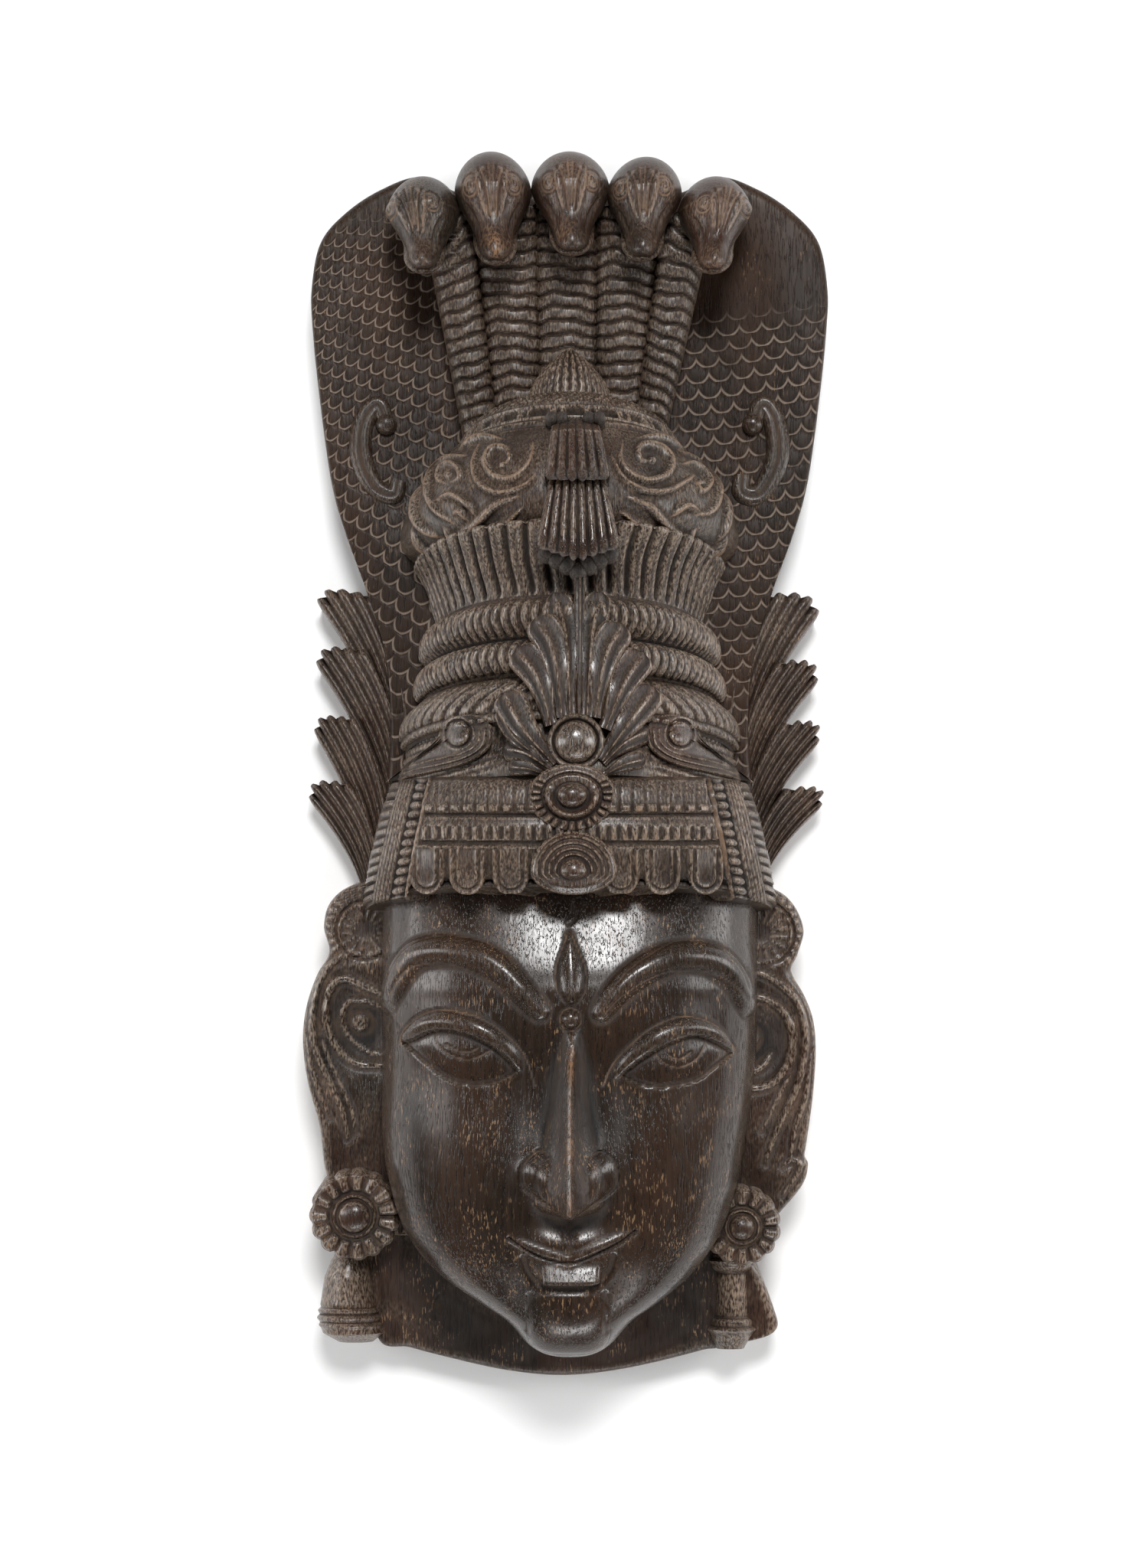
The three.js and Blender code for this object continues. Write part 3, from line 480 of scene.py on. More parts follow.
def head_rings(shape, rows=106, around=(76, 18)):
    """Ellipses along the line from the back of the head to its snout: a round back, a soft taper and a
    blunt round tip, with eyes, furrows and brow ridges moved along the normal."""
    share = (1 - np.cos(np.linspace(0.05, pi - 0.04, rows))) / 2
    bulb = rounded(np.minimum(1, share / 0.37 - 1))
    taper = 1 + (0.45 - 1) * smooth(share, 0.33, 0.86)
    size = np.where(share < 0.37, bulb, taper * rounded(np.maximum(0, share - 0.8) / 0.21))
    turn = np.concatenate([np.linspace(at * pi, at * pi + pi, around[at], endpoint=False) for at in (0, 1)])
    middle = np.outer(1 - share, shape["back"]) + np.outer(share, shape["snout"])
    low, high = HEAD_HEIGHTS
    x = middle[:, :1] + np.outer(size * shape["width"] / 2, np.cos(turn))
    z = (low + (high - low) * share**2)[:, None] + np.outer(size * HEAD_DEEP, np.sin(turn))
    rings = np.dstack([x, np.broadcast_to(middle[:, 1:], x.shape), z])
    side = x - middle[:, :1] - shape["roll"] * (1 - share)[:, None] * 1.6
    along = np.broadcast_to(share[:, None] * HEAD_LENGTH, x.shape)
    relief, hair = swell(side, along, (0, 55), (4.5, 9), 1.4), np.zeros(x.shape)
    for hand in (-1, 1):
        off = hand * side
        eye = (11.4, 24.5 - 0.5 * hand)
        relief += swell(off, along, eye, (6.5, 7), 2.2) + bead(off, along, BROW_RIDGE, width=3.5, rise=0.9)
        for half, width, depth in EYE_RINGS:
            hair = np.maximum(hair, ring_cut(off, along, eye, half, 1.5))
            relief -= depth * ring_cut(off, along, eye, half, width)
        for points in BROW_HAIRS:
            hair = np.maximum(hair, 0.9 * hairline(off, along, points))
        for points, width, depth in BROW_CUTS:
            relief += cut(off, along, points, width, depth)
    above = smooth(np.sin(turn), -0.1, 0.15)[None]
    rings = rings + (outward(rings)[1]) * (relief * above)[..., None]
    rub = peak(side, 0, 7) * (smooth(along, 2, 12) * smooth(-along, -24, -12) + smooth(along, 44, 58))
    return rings, shape["worn"] * rub * above, hair * above


def jaw_rings(shape, rows=22, around=28):
    """The lower jaw: a flat round-nosed tongue of wood under the snout, a little larger all round."""
    share = np.linspace(0.45, 1.035, rows)
    half = (2.2 + 0.235 * shape["width"]) * rounded(np.maximum(0, (share - 0.8) / 0.237))
    half = np.maximum(half + 3.0 * smooth(-share, -0.75, -0.45), 0.2)
    turn = np.linspace(0, 2 * pi, around, endpoint=False)
    middle = np.outer(1 - share, shape["back"]) + np.outer(share, shape["snout"])
    level = HEAD_HEIGHTS[0] + (HEAD_HEIGHTS[1] - HEAD_HEIGHTS[0]) * share**2 - 7
    x = middle[:, :1] + np.outer(half, np.cos(turn))
    z = level[:, None] + np.outer(np.minimum(5, half), np.sin(turn))
    return np.dstack([x, np.broadcast_to(middle[:, 1:], x.shape), z])


head_wood = hardwood(
    "rubbed_head_wood", gloss=0.36, dust_and_highlight=0.3, rub_and_highlight=0.5, warm=1.2, shine=0.42, fleck=0.4, pale=0.3
)
heads = [head_rings(shape) for shape in SERPENTS]
jaws = [jaw_rings(shape) for shape in SERPENTS]
plain = [np.zeros(rings.shape[:2]) for rings in jaws]
head_marks = {"worn": [head[1] for head in heads] + plain, "hair": [head[2] for head in heads] + plain}
carve("serpent_heads", [head[0] for head in heads] + jaws, head_wood, extra=head_marks, fine=0.3)


# Five serpent necks: half-round columns side by side, each cut across into ribs like a stack of bricks.
# They flare under the heads and run down behind the finial of the crown, in the same block.
NECKS = [
    {"top": (-66, 314), "foot": (-47, 190), "width": (32, 22), "tilt": 0.32},
    {"top": (-34, 318), "foot": (-25, 190), "width": (43, 29), "tilt": 0.06},
    {"top": (1, 320), "foot": (2, 196), "width": (40, 37), "tilt": 0.0},
    {"top": (37, 318), "foot": (29, 190), "width": (43, 27), "tilt": -0.05},
    {"top": (70, 314), "foot": (47, 188), "width": (32, 21), "tilt": -0.28},
]
NECK_FOOT = 20.0
NECK_BASE = 23
NECK_CROWN = 53
RIB_PITCH = 7.7


def off_middle(phase):
    """How far a phase lies from the middle of its turn: 0 there, a half where the next turn starts."""
    return np.abs(phase % 1 - 0.5)


def neck_rings(shape, rows=160, around=28):
    """Half-round sections down the neck, sunk by a narrow cut at each rib line; the ribs slant by the tilt
    and are pinched a little so that they look split from each other."""
    share = np.linspace(0, 1, rows)
    middle = np.outer(1 - share, shape["top"]) + np.outer(share, shape["foot"])
    wide, narrow = shape["width"]
    half = (wide + (narrow - wide) * share**0.8)[:, None] / 2
    angle = np.linspace(0, pi, around)
    crown = NECK_CROWN + 9 * smooth(-share, -0.35, 0)
    y = middle[:, 1:] + np.zeros(around)
    x = middle[:, :1] + half * np.sign(np.cos(angle)) * np.abs(np.cos(angle)) ** 0.8
    turn = smooth(-share, -0.3, -0.02)[:, None]
    phase = (y - shape["tilt"] * (1 + turn) * (x - middle[:, :1])) / RIB_PITCH
    phase = phase + 0.16 * np.sin(x / 6 + y / 23) + 0.07 * np.sin(x / 2.3 - y / 11)
    rib = off_middle(phase) * 2
    sunk = 2.3 * smooth(rib, 0.62, 0.97) + 0.5 * (rib * 0.8) ** 2
    across = np.abs(x - middle[:, :1]) / half
    z = NECK_BASE + (crown[:, None] - NECK_BASE - sunk) * np.sin(angle) ** 0.42
    z = z - 0.6 * np.exp(-((across - 0.3) ** 2) * 20)
    x = x - np.sign(x - middle[:, :1]) * sunk * 0.35 * across
    foot = np.full((rows, 1), NECK_FOOT)
    ends = [np.dstack([x[:, [i]], y[:, [i]], foot]) for i in (-1, 0)]
    return np.concatenate([np.dstack([x, y, z]), *ends], 1)


neck_wood = hardwood("ribbed_neck_wood", gloss=0.38, dust_and_highlight=0.2, rub_and_highlight=0.6, warm=0.5)
carve("serpent_necks", [neck_rings(shape) for shape in NECKS], neck_wood, fine=0.4)


# The crown's lower tiers, turned over a rounded-square arch that leans forward, so the front stands higher:
# a plain tier with faint leaning cuts, a ring of slanted gadroons over a row of beads, and two rope rings.
# They are cut in the block, whose back is gouged hollow behind the crown and the face.
CROWN_SQUARENESS = 2.3
CROWN_LEAN = (0.16, 50)
# Each row of a tier: height up the block at the sides, half width, and depth.
LOWER_TIER = [(-16, 102, 137), (-9, 101.5, 136), (4, 98, 131), (14, 95, 127)]
GADROON_TIER = [(12, 96, 128), (15, 98, 131), (22, 100, 133), (30, 98, 131), (36, 92, 126), (39, 89, 121)]
ROPE_TIER = [
    (36, 82, 114), (39, 84, 117), (40.5, 87, 121), (43, 90, 125.5), (49, 91, 127), (55, 89.5, 125),
    (58.5, 86, 121), (60, 83, 118), (62, 84.5, 119.5), (66, 87.5, 123), (72, 88, 124), (78, 86, 122),
    (81.5, 82, 117), (83.5, 79.5, 114), (86, 78, 113),
]
GADROONS = 34
ROPE_TURNS = 58
ROPES = [(40.5, 59.5), (61.0, 82.0)]
HOLLOW = {"x": 3, "y": -78, "half_width": 68, "half_length": 205, "depth": 70}
FLOOR_COLUMNS = 13


def hollow_height(x, y):
    """Ceiling of the gouged hollow over the saw line: half an ellipsoid, zero outside it."""
    across = (x - HOLLOW["x"]) / HOLLOW["half_width"]
    along = (y - HOLLOW["y"]) / HOLLOW["half_length"]
    return HOLLOW["depth"] * np.sqrt(np.maximum(0, 1 - across**2 - along**2))


def square_round(angle, squareness):
    """Cosine and sine of the angle, both pushed out towards a square's corner by the squareness."""
    return [np.sign(part) * np.abs(part) ** (2 / squareness) for part in (np.cos(angle), np.sin(angle))]


def arch(rows, squareness, lean, shares, step):
    """Rounded-square arches from the right foot over the front to the left foot. A row has its height at
    the sides, half width and depth; depth above the lean's own height carries the row up by the slope."""
    fine = spline(rows, 14)
    length = np.linalg.norm(np.diff(fine, axis=0), axis=1).sum()
    fine = even(fine, max(3, int(length / step)))
    row, half, front = fine[:, :1], fine[:, 1:2], fine[:, 2:3]
    dense = np.linspace(0, pi, 4000)
    across, out = square_round(dense, squareness)
    course = np.stack([half.mean() * across, front.mean() * out], -1)
    run = np.concatenate([[0], np.cumsum(np.linalg.norm(np.diff(course, axis=0), axis=1))])
    across, out = square_round(np.interp(shares * run[-1], run, dense), squareness)
    z = front * out
    slope = lean[0] if np.ndim(lean[0]) == 0 else np.interp(row, *lean[0])
    return np.dstack([MIDLINE + half * across, row + slope * (z - lean[1]), z]), row + 0 * z


def tier(rows, shares, step):
    """A crown tier's skin with its own measures: place across from right to left, and row height."""
    skin, row = arch(rows, CROWN_SQUARENESS, CROWN_LEAN, shares, step)
    return skin, np.broadcast_to(shares, row.shape), row


def lifted(skin, relief):
    """The skin moved along its own normals by the relief, outwards where that is above zero."""
    normal = np.cross(np.gradient(skin, axis=1), np.gradient(skin, axis=0))
    middle = np.array([MIDLINE, skin[..., 1].mean(), 0])
    normal *= np.sign((normal * (skin - middle)).sum())
    return skin + normal / np.maximum(np.linalg.norm(normal, axis=2, keepdims=True), 1e-9) * relief[..., None]


def closed_arch(skin, layer=0.0):
    """An arch with its floor added, from the left foot back to the right one under the hollow's ceiling."""
    share = np.linspace(0, 1, FLOOR_COLUMNS + 2)[None, 1:-1, None]
    floor = skin[:, -1:] * (1 - share) + skin[:, :1] * share
    skin[..., 2] = np.maximum(skin[..., 2], layer)
    floor[..., 2] = hollow_height(floor[..., 0], floor[..., 1]) + layer
    return np.concatenate([skin, floor], 1)


def inside(value, low, high, soft):
    """One between low and high and zero outside them, with soft edges."""
    return smooth(value, low - soft, low + soft) * (1 - smooth(value, high - soft, high + soft))


def fluting(phase, depth, width=0.5):
    """Round staves with narrow dark cuts between: deepest where the phase is a whole number."""
    return -depth * (1 - smooth(off_middle(phase + 0.5), 0, width * 0.5) ** 0.6)


crown_wood = hardwood("crown_wood", gloss=0.36, dust_and_highlight=0.1, rub_and_highlight=0.9, warm=0.6, pale=0.45, shine=0.46)

lower, across, row = tier(LOWER_TIER, np.linspace(0, 1, 240), step=1.1)
trail = lower[..., 1] + 0.3 * np.abs(lower[..., 0] - MIDLINE)
relief = 0.5 * np.sin(across * 420) * smooth(row, 2, 6)
relief -= 1.3 * peak(trail % 4.2, 2.1, 0.7) * smooth(np.abs(across - 0.5), 0.1, 0.14)
lower = closed_arch(lifted(lower, relief))

gadroon, across, row = tier(GADROON_TIER, np.linspace(0, 1, 360), step=1.15)
hand = np.sign(across - 0.5)
swept = across * GADROONS + hand * 1.5 * smooth(row, 14, 38) ** 1.6
relief = fluting(swept, 2.3) * smooth(row, 17.5, 19.5) * smooth(-row, -39, -36.5)
relief += 1.1 * rounded(np.hypot(off_middle(across * GADROONS * 1.7) / 0.34, (row - 15.6) / 1.6))
relief -= 1.3 * peak(row, 13.0, 0.8) + 1.0 * peak(row, 18.2, 0.6)
gadroon = closed_arch(lifted(gadroon, relief))

ropes, across, row = tier(ROPE_TIER, np.linspace(0, 1, 380), step=1.15)
hand = np.sign(across - 0.5)
relief = -1.2 * peak(row, 60.2, 0.6) - 0.9 * (peak(row, 40.6, 0.7) + peak(row, 81.6, 0.7))
for low, high in ROPES:
    way = np.clip((row - low) / (high - low), 0, 1)
    bulge = np.sqrt(np.maximum(0, 4 * way * (1 - way)))
    turn = across * ROPE_TURNS - hand * (0.55 * np.sin(way * pi) + 0.25 * way)
    strand = off_middle(turn) * 2
    relief += bulge * (3.6 * (1 - strand**2.2) - 2.6)
ropes = closed_arch(lifted(ropes, relief))
carve("crown_lower_tiers", [lower, gadroon, ropes], crown_wood, broad=1.1)


# The flare above the ropes: a collar that opens upwards, cut in the same block into round upright staves with
# dark cuts between them. The staves are spaced by eye, so their width changes a little on the way round.
FLARE_TIER = [
    (83, 78, 113), (86, 79, 114), (96, 82, 117), (108, 86, 123), (118, 91, 130), (121, 90, 129),
    (122, 86, 124),
]
STAVES = 36

flare, across, row = tier(FLARE_TIER, np.linspace(0, 1, 400), step=1.3)
lean_out = across + 0.025 * (0.5 - across) * smooth(row, 90, 120)
crowding = lean_out + 0.028 * np.sin(2 * pi * lean_out)
stave = fluting(crowding * STAVES + 0.08 * np.sin(row / 6), 3.6, 0.66)
flare = closed_arch(lifted(flare, stave * smooth(row, 84.5, 88) * smooth(-row, -123, -119)))
carve("crown_flare", [flare], crown_wood, broad=0.9)


# The crown's cap: a swelling tier with scrollwork, a rim with a row of slots and a pricked top, and a
# small fluted finial. The scrollwork is drawn on the front as a carver would pencil it: heavy ridges left
# standing on a ground sunk round them, with gouge cuts between. A painted highlight runs along each ridge,
# and painted shade darkens the sunk ground, the slots and the finial's flute cuts.
CAP_TIER = [
    (117, 80, 114), (120, 88, 119), (126, 96, 124), (134, 99, 125.5), (144, 97.5, 124), (156, 92, 120),
    (168, 84, 113), (178, 75, 105.5), (183, 69, 101), (185, 67, 99),
]
RIM_TIER = [
    (182, 67, 99), (184, 68, 101), (190, 65, 98), (193, 63.5, 97), (199, 57, 91), (203, 47, 84),
    (205.5, 34, 78),
]
FINIAL_TIER = [
    (202, 30, 80), (206, 30.5, 80), (213, 28.5, 79), (221, 24, 76), (228, 17, 71), (233, 10, 65),
    (235.5, 4, 59),
]
# Each ridge: its line and width.
SCROLL_RIDGES = [
    ([(-16.5, 176), (-17.7, 165), (-26.3, 156), (-36, 157), (-41.4, 165), (-38.2, 173), (-31.2, 173),
      (-28.9, 167), (-32.6, 163.2)], 4.6),
    ([(-46.6, 178), (-48.5, 165), (-44.5, 153.7), (-33.3, 148.1), (-20.7, 151.6), (-15, 158)], 3.4),
    ([(-52.9, 172), (-65.5, 173.5), (-72.7, 167), (-74.4, 154.2), (-69.8, 142.8), (-59.8, 134.2)], 4.2),
    ([(-65.5, 157.1), (-69.1, 160.7), (-67, 166.4), (-62, 168), (-56.5, 163.5), (-56, 158),
      (-61.2, 157.1)], 3.6),
    ([(-69.8, 147.8), (-59.8, 149.2), (-50.1, 142.5), (-47.3, 137)], 3.6),
    ([(-60, 139), (-55.3, 140), (-52.2, 135.4)], 3.4),
    ([(-77.7, 163), (-82.4, 153), (-82.2, 141.4), (-76.2, 133), (-67, 128)], 4.0),
    ([(31.7, 176), (30.3, 166.3), (35.2, 158.6), (45, 155.1), (54.8, 159.3), (57.4, 167.7), (52, 174.7),
      (43.6, 176), (39.4, 171.9), (41.8, 166.6), (47.4, 167)], 4.6),
    ([(25.4, 169), (31, 156.5), (42.2, 149.6), (54.8, 150.2), (65.8, 157.1), (71.5, 162.1)], 3.4),
    ([(63, 177), (75.8, 173.6), (83.4, 165.1), (85.2, 154.2), (80.5, 142.8), (71.5, 138.9)], 4.2),
    ([(65.1, 167.9), (71.5, 169.8), (77.7, 165.5), (79.5, 158.9), (75.2, 152.8), (72.8, 157.5)], 3.6),
    ([(58.1, 137.1), (65.2, 143.2), (73.8, 141.4)], 3.6),
    ([(86.8, 159), (90.3, 148.5), (89.2, 136.7), (84.5, 127)], 4.0),
    ([(-24, 146), (-36, 142), (-48, 133), (-60, 128)], 4.4), ([(-84, 137), (-80, 127), (-72, 122)], 4.0),
    ([(-66, 133), (-58, 126), (-46, 126)], 3.4), ([(34, 146), (46, 141), (56, 132), (66, 127)], 4.4),
    ([(90, 134), (86, 125), (77, 121)], 4.0), ([(72, 132), (64, 125), (52, 125)], 3.4),
    ([(-34, 180), (-46, 181.5), (-58, 178)], 3.4), ([(40, 180.5), (54, 181.5), (67, 177.5)], 3.4),
    ([(-22, 140), (-30, 134), (-42, 130)], 3.0), ([(30, 138), (40, 133), (50, 130)], 3.0),
]
SCROLL_CUTS = [
    [(-20, 172), (-21.5, 165.5), (-28, 160), (-35, 161), (-37.5, 166)],
    [(-43, 161), (-38, 152.5), (-28, 151.8)],
    [(-60, 170), (-68, 167), (-70.5, 156), (-66, 146)], [(-54, 153), (-50, 158), (-50.5, 168)],
    [(-66, 153), (-60, 152), (-54, 148)], [(-79, 150), (-77.5, 141), (-70, 134)],
    [(34, 172), (33.5, 166), (38, 160.5), (45, 158.8), (51.5, 162), (53, 168)],
    [(33, 155), (42, 152.4), (53, 153.5), (61, 158)],
    [(66, 172.5), (76, 168), (81, 158), (77, 146)], [(60, 147), (68, 149), (73, 148)],
    [(84, 156), (86.5, 147), (84.5, 136)],
    [(-50, 131), (-36, 133), (-22, 140)], [(32, 140), (44, 134), (56, 132)],
]
SCROLL_EYES = [(-32.6, 163.2), (47.4, 167.0), (-63, 161.5), (75, 158)]
SCROLL_SUNK = 2.6
FINIAL_FLUTES = 46


def with_floor(mark):
    """A mark on an arch's skin with nothing on the floor that closes it."""
    return np.hstack([mark, np.zeros((len(mark), FLOOR_COLUMNS))])


cap, across, row = tier(CAP_TIER, np.linspace(0, 1, 370), step=1.0)
x, y = cap[..., 0], cap[..., 1]
relief = np.full(x.shape, -SCROLL_SUNK) * smooth(row, 122, 127) * smooth(-row, -180, -176)
ridge_highlight = np.zeros(x.shape)
# Each ridge also gets a painted highlight along its line.
for points, width in SCROLL_RIDGES:
    relief = np.maximum(relief, bead(x, y, points, width * 1.3, rise=6.6, taper=0.25) - SCROLL_SUNK)
    ridge_highlight = np.maximum(ridge_highlight, hairline(x, y, points))
for points in SCROLL_CUTS:
    relief += cut(x, y, points, width=2.0, depth=1.2)
for centre in SCROLL_EYES:
    relief = np.maximum(relief, 2.4 * rounded(np.hypot(x - centre[0], y - centre[1]) / np.sqrt(5)))
relief += 0.9 * peak(row, 180.5, 1.0) - 0.8 * peak(row, 178, 0.8)
# Painted shade on the sunk ground.
cap_dark = with_floor(0.95 * smooth(-relief, 0.2, 2.2))
cap = closed_arch(lifted(cap, relief))

rim, across, row = tier(RIM_TIER, np.linspace(0, 1, 290), step=1.0)
slot_phase = (across * 15) % 1
slots = np.maximum(inside(slot_phase, 0.1, 0.62, 0.03), inside(slot_phase, 0.78, 0.86, 0.03))
relief = -3.2 * slots * np.exp(-(((row - 187.6) / 2.3) ** 6)) + 0.5 * peak(row, 191.4, 0.6)
relief -= 0.8 * peak(row, 192.5, 0.7)
prick = np.sin(across * 460) * np.sin(row * 2.4 + 2 * np.sin(across * 91))
prick += 0.6 * np.sin(across * 283 + row * 1.7)
relief += 0.6 * prick * smooth(row, 193.5, 195) * smooth(-row, -204, -202)
# Painted shade in the slots.
rim_dark = with_floor(0.9 * smooth(-relief, 0.9, 2.6))
rim = closed_arch(lifted(rim, relief))

way = np.linspace(-1, 1, 200)
crowded = (np.sin(1.2 * way) / np.sin(1.2)) ** 3
finial, across, row = tier(FINIAL_TIER, 0.5 + 0.25 * (crowded + way), step=1.2)
relief = fluting(across * FINIAL_FLUTES + 0.06 * np.sin(row), 1.5, 0.8) * smooth(row, 204, 207)
# Painted shade in the flute cuts.
finial_dark = with_floor(0.7 * smooth(-relief, 0.5, 1.2))
finial = closed_arch(lifted(finial, relief))

unveined = [np.zeros(rings.shape[:2]) for rings in (rim, finial)]
cap_marks = {"painted_shade": [cap_dark, rim_dark, finial_dark], "hair": [with_floor(ridge_highlight), *unveined]}
carve("crown_cap", [cap, rim, finial], crown_wood, extra=cap_marks)


# The palmette at the front of the crown: cupped leaves that fan out over the tiers, raised at their tips and
# polished by touch. Each is cut in the block with a keel, a hollow on each side of it and a rim; the keel and
# rim carry a painted highlight and the hollows painted shade.
PALMETTE_MIDDLE = 8.3
PALMETTE_ROOT = 137.0
LEAF_DEEP = 20
# Each leaf: root, middle, tip and width.
PALMETTE_LEAVES = [
    [(8.2, 28), (8.4, 70), (8.3, 114), 4.6], [(3.9, 29), (1.8, 74), (-5.2, 95), 14.0],
    [(12.0, 29), (14.4, 74), (20.0, 95.5), 14.0], [(-0.4, 28), (-4.8, 64), (-14.6, 81.5), 15.5],
    [(16.0, 28), (21.6, 62), (31.0, 78), 15.5], [(-6.3, 24), (-13.4, 50), (-24.6, 65), 15.5],
    [(21.8, 22), (32.0, 48), (42.3, 63), 15.5], [(-4.6, 3.5), (-20.4, 22), (-31, 41.5), 15.0],
    [(20.0, 5.4), (36.3, 29), (47.8, 44.6), 15.0], [(-9, 4.2), (-25.7, 17.8), (-33.8, 32.6), 7.5],
    [(-7, 1.0), (-19.8, 9.6), (-31.4, 12.6), 11.5], [(20.8, 4.0), (32.6, 15.6), (45.4, 22.4), 11.5],
    [(-8.9, -2.4), (-18, 1.2), (-29, 2.6), 8.0], [(20.9, -2.4), (32.0, 3.6), (43.0, 6.6), 8.5],
]
CROWN_PROFILE = np.array(
    LOWER_TIER[1:] + GADROON_TIER[2:4] + [ROPE_TIER[4], ROPE_TIER[11]] + FLARE_TIER[1:6:2] + CAP_TIER[2:]
    + RIM_TIER[3:] + FINIAL_TIER[2:]
)


def crown_depth(x, y):
    """Height of the crown's front at a place, settled by trying the lean of the last answer again."""
    z = np.full(np.shape(x), 120.0)
    for _ in range(5):
        at = y - CROWN_LEAN[0] * (z - CROWN_LEAN[1])
        half, front = (np.interp(at, CROWN_PROFILE[:, 0], CROWN_PROFILE[:, column]) for column in (1, 2))
        share = np.minimum(0.97, np.abs(x - MIDLINE) / half)
        z = front * (1 - share**CROWN_SQUARENESS) ** (1 / CROWN_SQUARENESS)
    return z


def softened_line(values, reach=5):
    """Each value of a line averaged with its neighbours within the reach."""
    count = 2 * reach + 1
    return np.convolve(np.pad(values, reach, mode="edge"), np.full(count, 1 / count), "valid")


def leaf_rings(root, middle, tip, width, rows=40, around=26):
    """A cupped leaf carried along its bent line: narrow at the root, round at the tip, with a keel
    off its middle, a hollow on each side of it and a raised rim. The leaf stands up and curls outwards.
    With it: a painted highlight along its keel and rim, and painted shade in its hollows."""
    line = even(spline([root, middle, tip], 20), rows)
    share = np.linspace(0, 1, rows)
    heading = np.gradient(line, axis=0)
    heading /= np.linalg.norm(heading, axis=1, keepdims=True)
    side = np.stack([-heading[:, 1], heading[:, 0]], -1)
    swell = 0.42 + 0.58 * smooth(share, 0.05, 0.85)
    end = np.sqrt(np.clip(1 - ((share - 0.88) / 0.12) ** 2 * (share > 0.88), 0.003, 1))
    half = width * 0.61 * swell * end
    off = np.sin(np.linspace(-pi / 2, pi / 2, around))
    flat = line[:, None] + side[:, None] * (half[:, None] * off)[..., None]
    ground = crown_depth(line[:, 0], line[:, 1])
    start = max(float(ground[0]) + 2.5, PALMETTE_ROOT)
    base = start + (ground[-1] + 3.5 - start) * share
    base = base + 5 * np.sin(pi * share) ** 2 + 3.2 * smooth(share, 0.6, 1)
    base = np.maximum(base, softened_line(ground + 2.2))
    outer = 1.0 if middle[0] < PALMETTE_MIDDLE else -1.0
    keel_at = 0.12 * outer
    keel = peak(off, keel_at, 0.13)
    rim = peak(np.abs(off), 0.84, 0.12)
    cup = 3.0 * keel * (1 - smooth(share, 0.75, 1))[:, None] + 1.2 * rim * smooth(share, 0.2, 0.6)[:, None]
    cup = cup - 1.6 * smooth(share, 0.55, 0.95)[:, None] * (1 - off**2) - 3.5 * np.abs(off) ** 6
    z = base[:, None] + cup * (0.45 + 0.55 * half / half.max())[:, None]
    top = np.dstack([flat, z])
    sunk = [np.dstack([flat[:, [i]], z[:, [i]] - LEAF_DEEP]) for i in (-1, 0)]
    # Painted highlight along the keel and rim; painted shade in the hollows, stronger on the outer side.
    drawn = peak(off, keel_at, 0.09) + 0.8 * peak(np.abs(off), 0.92, 0.07)
    dark = peak(np.abs(off - 0.1 * outer), 0.42, 0.17) * (0.6 + 0.4 * (off * outer > 0))
    fading = smooth(share, 0.02, 0.2)[:, None]
    spare = np.zeros((rows, 2))
    drawn, dark = (np.hstack([mark * fading, spare]) for mark in (drawn, dark))
    return np.concatenate([top, *sunk], 1), drawn, dark


ornament_wood = hardwood(
    "polished_ornament_wood", gloss=0.27, dust_and_highlight=0.1, rub_and_highlight=1.0, warm=1.2, shine=0.6, pale=0.35
)
leaves = [leaf_rings(*shape) for shape in PALMETTE_LEAVES]
leaf_marks = {"hair": [leaf[1] for leaf in leaves], "painted_shade": [leaf[2] for leaf in leaves]}
carve("palmette_leaves", [leaf[0] for leaf in leaves], ornament_wood, extra=leaf_marks, fine=0.3)


# The boss at the palmette's foot: a dome in a thin ring. It looks like a set stone, but it is the block's own
# wood, turned over with a curved gouge and polished brighter than the rest.
BOSS = {"x": 6.4, "y": 15.2, "half": 11.2, "rise": 7.5, "height": 138}
BOSS_RING_RADII = [11.6, 12.2, 13.0, 13.8, 14.4, 14.8, 15.0, 15.0]
BOSS_RING_RISE = [-1.6, 0.8, 2.0, 2.2, 1.6, 0.4, -2, -22]

boss_wood = hardwood("polished_boss_wood", gloss=0.28, dust_and_highlight=0.2, rub_and_highlight=0.6, warm=0.3, shine=1.0, pale=0.6)
share = np.linspace(0.03, 1, 16)
boss_radii = np.append(BOSS["half"] * share, BOSS_RING_RADII)
boss_rise = np.append(BOSS["rise"] * (1 - (share * 0.995) ** 2.2) ** 0.6, BOSS_RING_RISE)
carve("crown_boss", [turned((BOSS["x"], BOSS["y"]), boss_radii, BOSS["height"] + boss_rise, 72)], boss_wood)


# Two comma-shaped paisleys lie on the crown beside the boss, one the mirror image of the other. Each is cut
# in the block as a knob in a ring, with contour ridges that close up along its tail.
PAISLEY_OUTLINE = [
    (-38.0, 23.4), (-38.7, 13.8), (-44.0, 7.8), (-53.6, 3.0), (-68.0, -0.6), (-84.7, -3.5), (-101.5, -6.6),
    (-89.5, 3.0), (-79.9, 9.0), (-70.4, 16.2), (-66.8, 23.4), (-62.0, 28.2), (-51.2, 30.1), (-41.6, 28.2),
]
PAISLEY_KNOB = (-56.7, 19.8)
PAISLEY_CONTOURS = (0.62, 0.79, 0.95)
PAISLEY_DEEP = 12


